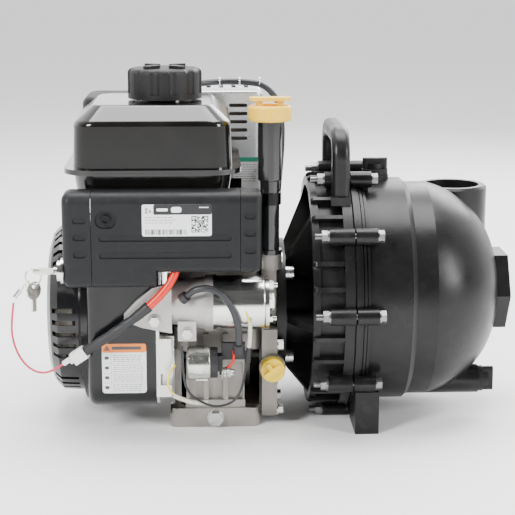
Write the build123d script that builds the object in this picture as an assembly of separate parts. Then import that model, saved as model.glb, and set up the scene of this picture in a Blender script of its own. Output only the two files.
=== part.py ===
from build123d import *
import math
import os

# Gas engine trash pump.  Millimetres, +Z up, +X along the crankshaft towards the pump, -Y the
# starter side.  The shapes are drawn about the crankshaft's plane (Y = 0) and are moved on
# writing, so that the origin is the centre of the engine's base bolt pattern, on its underside.

# ------------------------------------------------------------------ driving dimensions
CRANK_Z = 106.0                 # crankshaft height over the base
CYLINDER_TILT = 25.0            # cylinder axis over horizontal, leaning away from the starter
CYLINDER_X = 4.0
BORE_R = 34.0
STROKE = 54.0
FIT = 0.05                      # radial clearance of a running fit
GAP = 0.4                       # clearance between parts that move past each other

FLOOR_Z = -6.0                  # underside of the base and of the pump's foot
BASE_X = 46.5                   # half length of the engine base along the crankshaft
BASE_Y0, BASE_Y1 = -75.0, 107.0
BASE_TOP = 14.0
BASE_HOLE_DX = 75.5
BASE_HOLE_DY = 162.0
BASE_MID_Y = 16.0               # the crankshaft is off the middle of the base
BASE_HOLE_R = 4.25
CASE_X0, CASE_X1 = -42.0, 47.5  # crankcase casting
CASE_FRONT, CASE_BACK = -66.0, 62.0
CASE_TOP = 178.0
CASE_WALL = 7.0
COVER_X1 = 63.0                 # outer face of the crankcase cover
PLATE_X0, PLATE_X1 = -59.0, -44.0
BEARING_R = 26.0
BEARING_W = 14.0
SHAFT_R = 12.5
OIL_CAP_X, OIL_CAP_Z, OIL_CAP_R = 58.0, 59.4, 12.3

BLOWER_X0 = -127.5
BLOWER_FRONT, BLOWER_BACK = -105.0, 98.0
BLOWER_BOTTOM, BLOWER_TOP = 22.0, 214.0
SHEET = 2.0                     # pressed and moulded wall thickness
RECOIL_X0 = -170.0
RECOIL_R = 88.0
SHOULDER_R = 98.0
SHOULDER_X = -137.0

TANK_X = (-139.0, 18.0)         # tank walls at the seam
TANK_Y = (-96.0, 66.0)
TANK_SEAM_Z = 263.0
TANK_BREAK_Z = 310.0            # where the walls turn into the shoulders
TANK_TOP_Z = 326.0
TANK_TOP_INSET = 20.0
TANK_BOTTOM_Z = 236.0
TANK_WALL = 2.5
SEAM_LIP = 9.0
CAP_X, CAP_Y, CAP_R = -49.0, -20.0, 37.5
CAP_Z0, CAP_Z1 = 328.0, 361.0

PANEL_FRONT = -127.0
PANEL_BACK = -98.5
PANEL_TOP = 247.0
PANEL_LOW, PANEL_HIGH = 154.0, 168.6    # lower edge left and right of the step
PANEL_STEP_X = -57.0
PANEL_X0, PANEL_X1 = -147.5, 45.5
PANEL_SEAM_L, PANEL_SEAM_R = -119.6, 25.0
PANEL_WALL = 3.0

STARTER_Y, STARTER_Z, STARTER_R = -91.0, 130.0, 27.5
STARTER_X0, STARTER_X1 = -2.0, 55.0
GEAR_CASE_X0 = -79.0
SOLENOID_Y, SOLENOID_Z, SOLENOID_R = -102.0, 71.0, 17.0
SOLENOID_X0, SOLENOID_X1 = -28.0, 0.0

TUBE_X, TUBE_Y = 55.6, -70.0    # dipstick tube
TUBE_Z0, TUBE_Z1 = 176.0, 309.0

PUMP_Z = 123.0                  # axis of the pump flange and body, above the shaft's
BOLT_CIRCLE_R = 128.5
BOLT_COUNT = 10
ADAPTER_X0 = 101.0
FLANGE_X0 = 128.0               # adapter flange
JOINT_X = 137.5                 # face between adapter and body
GASKET = 1.6
BODY_FLANGE_X1 = 154.0
RING_R = 119.0
BODY_R = 117.0
DOME_R = 112.5
BODY_STEP_X = 196.0
DOME_X1 = 296.5
BODY_WALL = 6.0
PORT_R = 29.2                   # root radius of the 2 in pipe threads
SUCTION_Z = 122.0
SUCTION_X1 = 308.4
SUCTION_AF = 78.0
DISCHARGE_X, DISCHARGE_Y, DISCHARGE_Z = 257.5, 40.0, 227.5
DISCHARGE_OUT_R = 37.5
DISCHARGE_THREAD = 24.0
PRIME_X = 169.0
PRIME_Z = 249.0
DRAIN_Y, DRAIN_Z = -30.0, 29.6
DRAIN_X1 = 278.0

# ------------------------------------------------------------------ helpers


def box(x0, x1, y0, y1, z0, z1):
    """Box between two opposite corners."""
    middle = Pos((x0 + x1) / 2, (y0 + y1) / 2, (z0 + z1) / 2)
    return middle * Box(x1 - x0, y1 - y0, z1 - z0)


def rod_x(x0, x1, y, z, r):
    """Cylinder along X."""
    return Pos((x0 + x1) / 2, y, z) * Rot(0, 90, 0) * Cylinder(r, x1 - x0)


def rod_y(x, y0, y1, z, r):
    """Cylinder along Y."""
    return Pos(x, (y0 + y1) / 2, z) * Rot(90, 0, 0) * Cylinder(r, y1 - y0)


def rod_z(x, y, z0, z1, r):
    """Cylinder along Z."""
    return Pos(x, y, (z0 + z1) / 2) * Cylinder(r, z1 - z0)


def ring_x(x0, x1, y, z, r_out, r_in):
    """Tube along X."""
    return rod_x(x0, x1, y, z, r_out) - rod_x(x0 - 1, x1 + 1, y, z, r_in)


def hex_x(x0, x1, y, z, flats, turn=0.0):
    """Hexagonal bar along X."""
    outline = Rot(0, 0, turn) * RegularPolygon(flats / 2, 6, major_radius=False)
    return extrude(Pos(x0, y, z) * Rot(0, 90, 0) * outline, x1 - x0)


def hex_y(x, y0, y1, z, flats):
    """Hexagonal bar along Y, from y0 towards -Y to y1."""
    outline = RegularPolygon(flats / 2, 6, major_radius=False)
    return extrude(Pos(x, y0, z) * Rot(90, 0, 0) * outline, y0 - y1)


def cone_x(x0, x1, y, z, r0, r1):
    """Cone along X, radius r0 at x0 and r1 at x1."""
    return Pos((x0 + x1) / 2, y, z) * Rot(0, 90, 0) * Cone(r0, r1, x1 - x0)


def revolve_x(points, y, z):
    """Solid turned about an X axis through (y, z), from (x, radius) points."""
    face = make_face(Polyline(*points, close=True))
    return Pos(0, y, z) * revolve(face, Axis.X)


def polar(radius, degrees):
    """Y and Z offsets of a point at an angle from +Z, turning towards -Y."""
    a = math.radians(degrees)
    return -radius * math.sin(a), radius * math.cos(a)


def rounded_block(x0, x1, y0, y1, z0, z1, radius):
    """Box with its four vertical edges rounded."""
    plan = Pos((x0 + x1) / 2, (y0 + y1) / 2, z0) * RectangleRounded(x1 - x0, y1 - y0, radius)
    return extrude(plan, z1 - z0)


def side_plate(x0, x1, y0, y1, z0, z1, radius):
    """Plate square to X with its four corners rounded."""
    outline = RectangleRounded(z1 - z0, y1 - y0, radius)
    return extrude(Pos(x0, (y0 + y1) / 2, (z0 + z1) / 2) * Rot(0, 90, 0) * outline, x1 - x0)


def front_slot(x0, x1, z0, z1, y0, y1):
    """Bar with round ends lying along X, between two Y planes."""
    outline = SlotOverall(x1 - x0, z1 - z0)
    return extrude(Pos((x0 + x1) / 2, y1, (z0 + z1) / 2) * Rot(90, 0, 0) * outline, y1 - y0)


def along_cylinder(distance):
    """Point on the cylinder axis at a distance from the crankshaft axis."""
    a = math.radians(CYLINDER_TILT)
    return CYLINDER_X, distance * math.cos(a), CRANK_Z + distance * math.sin(a)


def on_cylinder(d0, d1, shape_of_height):
    """Place a Z-standing shape so that it lies along the cylinder axis from d0 to d1."""
    x, y, z = along_cylinder((d0 + d1) / 2)
    return Pos(x, y, z) * Rot(CYLINDER_TILT - 90, 0, 0) * shape_of_height(d1 - d0)


def save(name, shape):
    """Write one named piece in the row's frame."""
    solids = [Pos(0, -BASE_MID_Y, -FLOOR_Z) * solid for solid in shape.solids()]
    whole = solids[0] if len(solids) == 1 else Compound(children=solids)
    export_step(whole, "parts/" + name + ".step")


def group(shapes):
    """Separate solids kept together in one node."""
    solids = []
    for shape in shapes:
        solids.extend(shape.solids())
    return Compound(children=solids)

# ------------------------------------------------------------------ engine block

BARREL_R = 42.0
DRAIN_BOLT_Z = 4.2
DECK = 121.5                    # head face, along the cylinder axis from the crankshaft
HEAD_TOP = 152.0
FIN_HALF = 45.0
FIN_STEP = 8.0
FIN = 2.4
CAM_Y, CAM_Z = -14.0, 55.0
CAM_R = 7.0
SEAL_R = 20.0


def crankcase():
    """Cast case with its base, the front ledge, the cylinder barrel and its fins."""
    base = rounded_block(-BASE_X, BASE_X, BASE_Y0, BASE_Y1, FLOOR_Z, BASE_TOP, 8)
    lower = rounded_block(CASE_X0, CASE_X1, CASE_FRONT, CASE_BACK, 10, 98, 8)
    upper = rounded_block(CASE_X0, CASE_X1, -56, CASE_BACK, 90, CASE_TOP, 8)
    barrel = on_cylinder(50, DECK, lambda h: Cylinder(BARREL_R, h))
    case = base + lower + upper + barrel
    d = DECK - 36
    while d < DECK - 2:
        case += on_cylinder(d, d + FIN, lambda h: Box(2 * FIN_HALF, 2 * FIN_HALF, h))
        d += FIN_STEP
    case += rod_x(-50, -30, 0, CRANK_Z, 34)
    # front ribs and pads of the casting
    for x in (-32, -12, 8, 28):
        case += box(x, x + 5, CASE_FRONT - 5, CASE_FRONT + 4, BASE_TOP - 2, 92)
    case += box(-38, 44, CASE_FRONT - 6, CASE_FRONT + 2, BASE_TOP - 2, 22)
    case += box(-36, 40, CASE_FRONT - 4, CASE_FRONT + 2, 62, 68)
    case += box(-38, -24, -60, -50, 100, 160)
    case += box(30, 42, -60, -50, 100, 160)
    # hollow for the crank and the camshaft
    wall = CASE_X0 + CASE_WALL
    case -= box(wall, CASE_X1 + 1, CASE_FRONT + CASE_WALL, 54, 12, 92)
    case -= box(wall, CASE_X1 + 1, -49, 54, 90, 168)
    case -= on_cylinder(40, DECK + 1, lambda h: Cylinder(BORE_R + FIT, h))
    case -= rod_x(-44, -29, 0, CRANK_Z, BEARING_R)
    case -= rod_x(-51, -43, 0, CRANK_Z, SEAL_R)
    case -= rod_x(-40, -34, CAM_Y, CAM_Z, CAM_R + FIT)
    for x in (-BASE_HOLE_DX / 2, BASE_HOLE_DX / 2):
        for y in (BASE_MID_Y - BASE_HOLE_DY / 2, BASE_MID_Y + BASE_HOLE_DY / 2):
            case -= rod_z(x, y, BASE_TOP - 6, BASE_TOP + 60, 10)
            case -= rod_z(x, y, FLOOR_Z - 1, BASE_TOP + 1, BASE_HOLE_R)
    case -= rod_y(0, BASE_Y0 - 1, -58, DRAIN_BOLT_Z, 6)
    return case


def crankcase_cover():
    """Side cover with the output bearing, the oil filler and the dipstick tube's seat."""
    plate = side_plate(CASE_X1, COVER_X1, -80, 66, 2, 158, 18)
    plate -= box(CASE_X1 - 1, COVER_X1 + 1, -90, -58, 98, 160)
    cover = plate + side_plate(CASE_X1, COVER_X1, -58, 66, 60, 176, 12)
    cover += rod_x(CASE_X1 - 4, COVER_X1 + 6, 0, CRANK_Z, 40)
    cover += box(CASE_X1, COVER_X1, -80, -50, 160.5, 170)
    cover += rod_z(TUBE_X, TUBE_Y, 160, TUBE_Z0 - 0.4, 12)
    cover += rod_y(OIL_CAP_X, -84, -76, OIL_CAP_Z, 13.5)
    cover -= box(CASE_X1 - 0.1, COVER_X1 - CASE_WALL, -70, -46, 34, 92)
    cover -= box(CASE_X1 - 0.1, COVER_X1 - CASE_WALL, 46, 56, 34, 146)
    cover -= rod_y(OIL_CAP_X, -85, -66, OIL_CAP_Z, 8.4)
    cover -= rod_z(TUBE_X, TUBE_Y, 150, TUBE_Z0 + 1, 5)
    cover -= rod_x(CASE_X1 - 5, COVER_X1 - 3, 0, CRANK_Z, BEARING_R)
    cover -= rod_x(COVER_X1 - 4, COVER_X1 + 7, 0, CRANK_Z, SEAL_R)
    cover -= rod_x(CASE_X1 - 1, 54, CAM_Y, CAM_Z, CAM_R + FIT)
    for y, z in COVER_BOLTS:
        cover -= rod_x(CASE_X1 - 1, COVER_X1 + 1, y, z, 3.0)
    return cover


COVER_BOLTS = ((-71, 12), (-73, 80.2), (-50, 166), (-24, 12), (30, 12), (57, 46), (57, 164))


def engine_bolts():
    """Bolts of the cover, the starter nose and the adapter, the panel screw and the drain bolt."""
    bolts = starter_bolts() + adapter_bolts() + [panel_screw(), oil_drain_bolt()]
    for y, z in COVER_BOLTS:
        bolt = rod_x(CASE_X1, COVER_X1 + 1.5, y, z, 3.0)
        bolt += rod_x(COVER_X1, COVER_X1 + 1.5, y, z, 6.6)
        bolt += hex_x(COVER_X1 + 1.5, COVER_X1 + 6.5, y, z, 10)
        bolts.append(bolt)
    return group(bolts)


def main_bearings():
    """The two main bearings."""
    left = ring_x(-44, -44 + BEARING_W, 0, CRANK_Z, BEARING_R, SHAFT_R + FIT)
    right_x = COVER_X1 - 3 - BEARING_W
    right = ring_x(right_x, right_x + BEARING_W, 0, CRANK_Z, BEARING_R, SHAFT_R + FIT)
    return group([left, right])


def shaft_seals():
    """Lip seals outside the main bearings, and the pump's mechanical seal."""
    left = ring_x(-50, -44.2, 0, CRANK_Z, SEAL_R, SHAFT_R + FIT)
    right = ring_x(COVER_X1 - 2.8, COVER_X1 + 5, 0, CRANK_Z, SEAL_R, SHAFT_R + FIT)
    pump = ring_x(116, 131, 0, CRANK_Z, 24, SHAFT_R + FIT)
    return group([left, right, pump])


WEB_R = 36.0
CRANK_R = STROKE / 2
PIN_R = 13.0
ROD_W = 18.0
SHAFT_X0, SHAFT_X1 = -139.0, 164.0
ROD_LENGTH = 74.0
CROWN = 18.0


def crankshaft():
    """Crank turned so that its pin points up the cylinder."""
    inner0 = CYLINDER_X - ROD_W / 2 - 1
    inner1 = CYLINDER_X + ROD_W / 2 + 1
    y, z = polar(CRANK_R, CYLINDER_TILT - 90)
    shaft = rod_x(SHAFT_X0, inner0 - 6, 0, CRANK_Z, SHAFT_R)
    shaft += rod_x(inner1 + 6, SHAFT_X1, 0, CRANK_Z, SHAFT_R)
    for x0 in (inner0 - 12, inner1):
        shaft += rod_x(x0, x0 + 12, 0, CRANK_Z, WEB_R)
        shaft += rod_x(x0, x0 + 12, y, CRANK_Z + z, PIN_R + 3)
    shaft += rod_x(inner0 - 1, inner1 + 1, y, CRANK_Z + z, PIN_R)
    shaft += rod_x(29, 37, 0, CRANK_Z, 17.3)
    return shaft


def camshaft():
    """Camshaft with its gear and two lobes, at half the crankshaft's speed."""
    cam = rod_x(-39.5, 53.5, CAM_Y, CAM_Z, CAM_R)
    cam += rod_x(29, 36, CAM_Y, CAM_Z, 35.0) - rod_x(28, 31.5, CAM_Y, CAM_Z, 28)
    for x, turn in ((-30, 30), (0, 140)):
        y, z = polar(4.5, turn)
        cam += rod_x(x, x + 8, CAM_Y, CAM_Z, 9.5)
        cam += rod_x(x, x + 8, CAM_Y + y, CAM_Z + z, 7.5)
    return cam


def piston_body():
    """Piston at the top of its stroke, with its pin."""
    top = DECK - 1.5
    body = on_cylinder(top - 42, top, lambda h: Cylinder(BORE_R - 0.15, h))
    hollow = on_cylinder(top - 43, top - 7, lambda h: Cylinder(BORE_R - 5, h))
    body -= hollow
    for d in (top - 6.5, top - 11, top - 15.5):
        groove = on_cylinder(d - 1.5, d, lambda h: Cylinder(BORE_R + 1, h))
        groove -= on_cylinder(d - 2, d + 1, lambda h: Cylinder(BORE_R - 2.5, h))
        body -= groove
    x, y, z = along_cylinder(top - CROWN)
    body += rod_x(x - BORE_R + 1.5, x + BORE_R - 1.5, y, z, 8)
    return body


def connecting_rod():
    """Connecting rod with its big end cut back clear of the crankpin's sweep."""
    top = DECK - 1.5 - CROWN
    x, y, z = along_cylinder(top)
    half = ROD_W / 2
    rod = rod_x(x - half, x + half, y, z, 13)
    rod += on_cylinder(top - ROD_LENGTH + 14, top, lambda h: Box(12, 16, h))
    x, y, z = along_cylinder(top - ROD_LENGTH)
    rod += rod_x(x - half, x + half, y, z, 22)
    rod -= rod_x(x - half - 1, x + half + 1, 0, CRANK_Z, CRANK_R + PIN_R + 3.6)
    x, y, z = along_cylinder(top)
    rod -= rod_x(x - half - 1, x + half + 1, y, z, 8)
    return rod.solids().sort_by(SortBy.VOLUME)[-1]


def piston():
    """Piston with its connecting rod."""
    return group([piston_body(), connecting_rod()])


def head_gasket():
    """Gasket between barrel and head."""
    plate = on_cylinder(DECK, DECK + 1, lambda h: Box(2 * FIN_HALF, 2 * FIN_HALF, h))
    return plate - on_cylinder(DECK - 1, DECK + 2, lambda h: Cylinder(BORE_R + 1, h))


def cylinder_head():
    """Finned head with its chamber and the exhaust and intake ports."""
    head = on_cylinder(DECK + 1, HEAD_TOP, lambda h: Box(70, 66, h))
    for i in range(4):
        d = DECK + 1 + i * FIN_STEP
        head += on_cylinder(d, d + FIN, lambda h: Box(2 * FIN_HALF, 2 * FIN_HALF, h))
    head -= on_cylinder(DECK, DECK + 9, lambda h: Sphere(14) + Cylinder(14, h))
    head += rod_z(EXHAUST_X, PORT_Y, PORT_Z0, 219, 13)
    head += rod_z(INTAKE_X, PORT_Y, PORT_Z0, 212, 12.5)
    x, y, z = along_cylinder(DECK + 16)
    head -= rod_x(-42, -31, y, z, 13)
    head -= rod_x(-32, -16, y, z, 6.95)
    return head


EXHAUST_X = 30.0
INTAKE_X = -24.0
PORT_Y = 111.0
PORT_Z0 = 187.0


def rocker_cover():
    """Pressed cover over the rockers."""
    cover = on_cylinder(HEAD_TOP + 0.8, 178, lambda h: Box(66, 56, h))
    cover = fillet(cover.edges(), 5)
    flange = on_cylinder(HEAD_TOP + 0.8, HEAD_TOP + 3.5, lambda h: Box(78, 64, h))
    inner = on_cylinder(HEAD_TOP, 176, lambda h: Box(61, 51, h))
    return cover + flange - inner


def valve_train():
    """Two rocker arms on their studs, under the rocker cover."""
    parts = []
    for dx in (-16, 16):
        stud = on_cylinder(HEAD_TOP, 168, lambda h: Pos(dx, 0, 0) * Cylinder(3.5, h))
        arm = on_cylinder(160, 166, lambda h: Pos(dx, 0, 0) * Box(10, 40, h))
        parts.append(stud + arm)
    return group(parts)


def ignition_parts():
    """Spark plug in the head, and the coil beside the flywheel."""
    return group([spark_plug(), ignition_coil()])


def spark_plug():
    """Spark plug in the end of the head."""
    x, y, z = along_cylinder(DECK + 16)
    x0 = CYLINDER_X - 35
    plug = rod_x(x0 - 12, x0 + 14, y, z, 6.9) + hex_x(x0 - 12, x0 - 1, y, z, 20.6)
    plug += rod_x(x0 - 34, x0 - 12, y, z, 5)
    return plug


def plug_boot():
    """Rubber cap on the spark plug, with its short lead."""
    x, y, z = along_cylinder(DECK + 16)
    x0 = CYLINDER_X - 35
    boot = rod_x(x0 - 40, x0 - 16, y, z, 10) - rod_x(x0 - 34, x0 - 15, y, z, 5)
    boot += rod_z(x0 - 34, y, z - 34, z - 5.6, 5)
    return boot

# ------------------------------------------------------------------ flywheel end


FLYWHEEL_R = 80.0
FLYWHEEL_X0, FLYWHEEL_X1 = -112.0, -90.0


def flywheel():
    """Flywheel with the starter cup and its nut."""
    return group([flywheel_casting(), starter_cup()])


def flywheel_casting():
    """Cast wheel with a heavy rim."""
    wheel = ring_x(FLYWHEEL_X0, FLYWHEEL_X1, 0, CRANK_Z, FLYWHEEL_R, 62)
    wheel += rod_x(FLYWHEEL_X0, FLYWHEEL_X0 + 7, 0, CRANK_Z, 70)
    wheel += rod_x(FLYWHEEL_X0, -78, 0, CRANK_Z, 22)
    wheel -= rod_x(FLYWHEEL_X0 - 1, -70, 0, CRANK_Z, SHAFT_R)
    return wheel


def cooling_fan():
    """Moulded fan bolted to the flywheel."""
    fan = ring_x(FLYWHEEL_X0 - 3, FLYWHEEL_X0, 0, CRANK_Z, 79, 16)
    blade = box(FLYWHEEL_X0 - 12, FLYWHEEL_X0 - 2, -1.4, 1.4, 46, 79)
    for i in range(16):
        fan += Pos(0, 0, CRANK_Z) * Rot(22.5 * i, 0, 0) * Rot(0, 0, 0) * blade
    return fan


def starter_cup():
    """Cup that the recoil pawls grip, with the flywheel nut in it."""
    cup = ring_x(-134, FLYWHEEL_X0 - 3, 0, CRANK_Z, 34, 31.5)
    cup += ring_x(-118, FLYWHEEL_X0 - 3, 0, CRANK_Z, 34, SHAFT_R)
    nut = hex_x(-129, -118, 0, CRANK_Z, 32) - rod_x(-130, -117, 0, CRANK_Z, SHAFT_R)
    return cup + nut


def blower_housing():
    """Shroud round the flywheel, open to the recoil cover and to the engine."""
    outer = side_plate(BLOWER_X0, PLATE_X0, BLOWER_FRONT, BLOWER_BACK, BLOWER_BOTTOM,
                       BLOWER_TOP, 26)
    outer = fillet(outer.faces().sort_by(Axis.X)[0].edges(), 8)
    inner = side_plate(BLOWER_X0 + SHEET, PLATE_X0 + 1, BLOWER_FRONT + SHEET,
                       BLOWER_BACK - SHEET, BLOWER_BOTTOM + SHEET, BLOWER_TOP - SHEET, 24)
    inner = fillet(inner.faces().sort_by(Axis.X)[0].edges(), 6)
    housing = outer - inner - rod_x(BLOWER_X0 - 1, BLOWER_X0 + 3, 0, CRANK_Z, 84)
    return housing


def steel_brackets():
    """Back plate, tank brackets, panel bracket and the tube's clip."""
    return group([back_plate(), panel_bracket(), tube_clamp()] + tank_brackets())


def back_plate():
    """Steel plate between the blower housing and the crankcase, with a turned front edge."""
    plate = side_plate(PLATE_X0, PLATE_X0 + 3, -104, 97, 23, 213, 24)
    plate += box(PLATE_X0, PLATE_X1, -104, -101, 36, 96)
    plate += box(PLATE_X0, CASE_X0, -70, -40, 60, 90)
    plate -= rod_x(PLATE_X0 - 1, PLATE_X1, 0, CRANK_Z, 36)
    plate -= box(PLATE_X0 + 4, PLATE_X1 + 1, -105, -100, 48, 60)
    plate -= rod_x(PLATE_X0 - 1, PLATE_X0 + 4, STARTER_Y, STARTER_Z, 11)
    return plate


def ignition_coil():
    """Coil and its laminated core beside the flywheel rim."""
    core = box(-110, -98, FLYWHEEL_R + 0.8, 92, CRANK_Z - 22, CRANK_Z + 22)
    coil = box(-113, -95, FLYWHEEL_R + 3.5, 95, CRANK_Z - 12, CRANK_Z + 12)
    return core + coil


def recoil_cover():
    """Domed cover with a stepped shoulder and groups of five cooling slots."""
    outline = [(RECOIL_X0, 0), (RECOIL_X0, 70), (-166, 80), (-158, RECOIL_R),
               (SHOULDER_X, RECOIL_R + 1), (SHOULDER_X + 3, SHOULDER_R), (BLOWER_X0, SHOULDER_R),
               (BLOWER_X0, SHOULDER_R - SHEET - 1), (SHOULDER_X + 4.5, SHOULDER_R - SHEET - 1),
               (SHOULDER_X + 1.5, RECOIL_R - 1.4), (-157, RECOIL_R - 2.4), (-165, 78.5),
               (RECOIL_X0 + 2.4, 69), (RECOIL_X0 + 2.4, 0)]
    cover = revolve_x(outline, 0, CRANK_Z)
    slot = box(-164, SHOULDER_X - 3, -RECOIL_R - 6, -RECOIL_R + 12, -2.4, 2.4)
    cutters = []
    for group_angle in (-6, 60, 120, 180, 240, 300):
        for i in range(-2, 3):
            angle = group_angle + SLOT_PITCH * i
            cutters.append(Pos(0, 0, CRANK_Z) * Rot(-angle, 0, 0) * slot)
    cover -= Compound(children=cutters)
    # pulley stud and rope outlet
    cover += rod_x(RECOIL_X0 + 2, -146, 0, CRANK_Z, 7)
    cover += rod_y(ROPE_X, 66, ROPE_OUT_Y, ROPE_Z, 8)
    cover -= rod_y(ROPE_X, 60, ROPE_OUT_Y + 1, ROPE_Z, ROPE_R + GAP)
    return cover


SLOT_PITCH = 8.0
PULLEY_R = 56.0
ROPE_R = 2.4
ROPE_X, ROPE_Z = -154.8, CRANK_Z + 52.5
ROPE_Y0, ROPE_OUT_Y = -16.0, 86.0


def recoil_pulley():
    """Rope pulley of the recoil starter, on the cover's centre boss."""
    pulley = rod_x(-163.5, -146, 0, CRANK_Z, PULLEY_R)
    pulley -= ring_x(-159.5, -150, 0, CRANK_Z, PULLEY_R + 2, PULLEY_R - 9)
    pulley += ring_x(-147, -139.5, 0, CRANK_Z, 24, 18)
    pulley -= rod_x(-164.5, -139, 0, CRANK_Z, 7 + FIT)
    return pulley


def recoil_grip():
    """Pull grip with the start of its rope."""
    return group([grip_bar(), recoil_rope()])


def grip_bar():
    """Moulded pull grip, a bar with a waist and rounded ends."""
    points = [(-178, 0), (-178, 6), (-174, 9), (-162, 7.5), (-155, 8.5), (-148, 7.5), (-136, 9),
              (-132, 6), (-132, 0)]
    bar = revolve_x(points, ROPE_OUT_Y + 11, ROPE_Z)
    neck = Pos(ROPE_X, ROPE_OUT_Y + 3, ROPE_Z) * Rot(90, 0, 0) * Cone(6.5, 4.5, 5)
    return bar + neck - rod_y(ROPE_X, ROPE_OUT_Y - 1, ROPE_OUT_Y + 12, ROPE_Z, ROPE_R)


def recoil_rope():
    """Start of the rope, from the pulley's groove through the outlet into the grip."""
    return rod_y(ROPE_X, ROPE_Y0, ROPE_OUT_Y + 12, ROPE_Z, ROPE_R)

# ------------------------------------------------------------------ fuel tank


def tank_loft(sections):
    """Loft through rounded rectangles given as (z, inset, corner radius)."""
    width = TANK_X[1] - TANK_X[0]
    depth = TANK_Y[1] - TANK_Y[0]
    middle = ((TANK_X[0] + TANK_X[1]) / 2, (TANK_Y[0] + TANK_Y[1]) / 2)
    outlines = []
    for z, inset, radius in sections:
        outline = RectangleRounded(width - 2 * inset, depth - 2 * inset, radius)
        outlines.append(Pos(middle[0], middle[1], z) * outline)
    return loft(outlines, ruled=True)


def fuel_tank_upper():
    """Upper half of the tank with its seam lip, shoulders and filler neck."""
    outer = tank_loft([(TANK_SEAM_Z, 0, 22), (TANK_BREAK_Z, 1.5, 22)])
    outer += tank_loft([(TANK_BREAK_Z, 1.5, 22), (TANK_TOP_Z, TANK_TOP_INSET, 14)])
    rim = [e for e in outer.edges() if abs(e.center().Z - TANK_TOP_Z) < 0.1]
    brk = [e for e in outer.edges() if abs(e.center().Z - TANK_BREAK_Z) < 0.1]
    outer = fillet(rim + brk, 7)
    w = TANK_WALL
    inner = tank_loft([(TANK_SEAM_Z - 1, w, 20), (TANK_BREAK_Z - 1, w + 2.5, 20)])
    inner += tank_loft([(TANK_BREAK_Z - 1, w + 2.5, 20), (TANK_TOP_Z - w, TANK_TOP_INSET + w, 12)])
    lip = tank_loft([(TANK_SEAM_Z - 0.1, -SEAM_LIP, 30), (TANK_SEAM_Z + 2.4, -SEAM_LIP, 30)])
    tank = outer + lip - inner
    tank += rod_z(CAP_X, CAP_Y, TANK_TOP_Z - 1, 350, 27)
    tank -= rod_z(CAP_X, CAP_Y, TANK_TOP_Z - 8, 351, 24)
    return tank


def fuel_tank_lower():
    """Lower half of the tank, with the other half of the seam lip and two feet."""
    outer = tank_loft([(TANK_BOTTOM_Z, 4, 20), (TANK_SEAM_Z - 0.3, 0, 22)])
    w = TANK_WALL
    inner = tank_loft([(TANK_BOTTOM_Z + w, 4 + w, 18), (TANK_SEAM_Z + 1, w, 20)])
    lip = tank_loft([(TANK_SEAM_Z - 2.7, -SEAM_LIP, 30), (TANK_SEAM_Z - 0.2, -SEAM_LIP, 30)])
    tank = outer + lip - inner
    tank += rod_z(-110, 40, TANK_BOTTOM_Z - 14, TANK_BOTTOM_Z + 1, 6)
    return tank


def tank_brackets():
    """Steel brackets that carry the tank on the engine."""
    rear = box(-36, 30, 20, 34, CASE_TOP, CASE_TOP + 3) + box(-36, 30, 31, 34, CASE_TOP, TANK_BOTTOM_Z)
    front = box(-36, 40, -56, -42, CASE_TOP, CASE_TOP + 3)
    front += box(-36, 40, -56, -53, CASE_TOP, TANK_BOTTOM_Z)
    return [rear, front]


def tank_cap():
    """Fluted filler cap with a domed rim, four top pads and vent slits."""
    cap = rod_z(CAP_X, CAP_Y, CAP_Z0, CAP_Z1 - 3, CAP_R)
    for i in range(CAP_LOBES):
        a = math.radians(360 / CAP_LOBES * (i + 0.5))
        x, y = CAP_X + 43.2 * math.cos(a), CAP_Y + 43.2 * math.sin(a)
        cap -= rod_z(x, y, CAP_Z0 + 5, CAP_Z1 + 1, 8)
    top = [e for e in cap.edges() if abs(e.center().Z - (CAP_Z1 - 3)) < 0.1]
    cap = fillet(top, 5)
    for i in range(4):
        a = 45 + 90 * i
        pad = extrude(Pos(18, 0, 0) * SlotOverall(20, 9), 3.4)
        cap += Pos(CAP_X, CAP_Y, CAP_Z1 - 3.4) * Rot(0, 0, a) * pad
    cap -= rod_z(CAP_X, CAP_Y, CAP_Z0 - 1, 351, 27 + GAP)
    return cap


CAP_LOBES = 12

# ------------------------------------------------------------------ control panel


def panel_block(x0, x1, z0, inset, corner):
    """Solid of the panel's section; corner is the rounding of a closed end, by its X."""
    low, top = z0 + inset, PANEL_TOP - inset
    block = box(x0, x1, PANEL_FRONT + inset, PANEL_BACK + inset, low, top)
    front = [e for e in block.edges().filter_by(Axis.X) if e.center().Y < PANEL_FRONT + inset + 1]
    block = fillet([e for e in front if e.center().Z > top - 1], 11 - inset)
    front = [e for e in block.edges().filter_by(Axis.X) if e.center().Y < PANEL_FRONT + inset + 1]
    block = fillet([e for e in front if e.center().Z < low + 1], 5 - inset / 2)
    for end_x, radius in corner:
        face = [f for f in block.faces() if abs(f.center().X - end_x) < 0.1][0]
        rim = [e for e in face.edges() if e.center().Y < PANEL_BACK + inset - 0.1]
        block = fillet(rim, radius)
    return block


def panel_shell(x0, x1, z0, left_r, right_r):
    """Front cover section, open behind; an end with no radius is open."""
    w = PANEL_WALL
    outer_ends = [(x, r) for x, r in ((x0, left_r), (x1, right_r)) if r]
    outer = panel_block(x0, x1, z0, 0, outer_ends)
    in0 = x0 + w if left_r else x0 - 1
    in1 = x1 - w if right_r else x1 + 1
    inner_ends = [(x, r - w) for x, r in ((in0, left_r), (in1, right_r)) if r]
    return outer - panel_block(in0, in1, z0, w, inner_ends)


def front_groove(x0, x1, z):
    """Shallow cutter with round ends for the front of the panel."""
    return front_slot(x0, x1, z - 3.2, z + 3.2, PANEL_FRONT - 1, PANEL_FRONT + 1.6)


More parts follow.
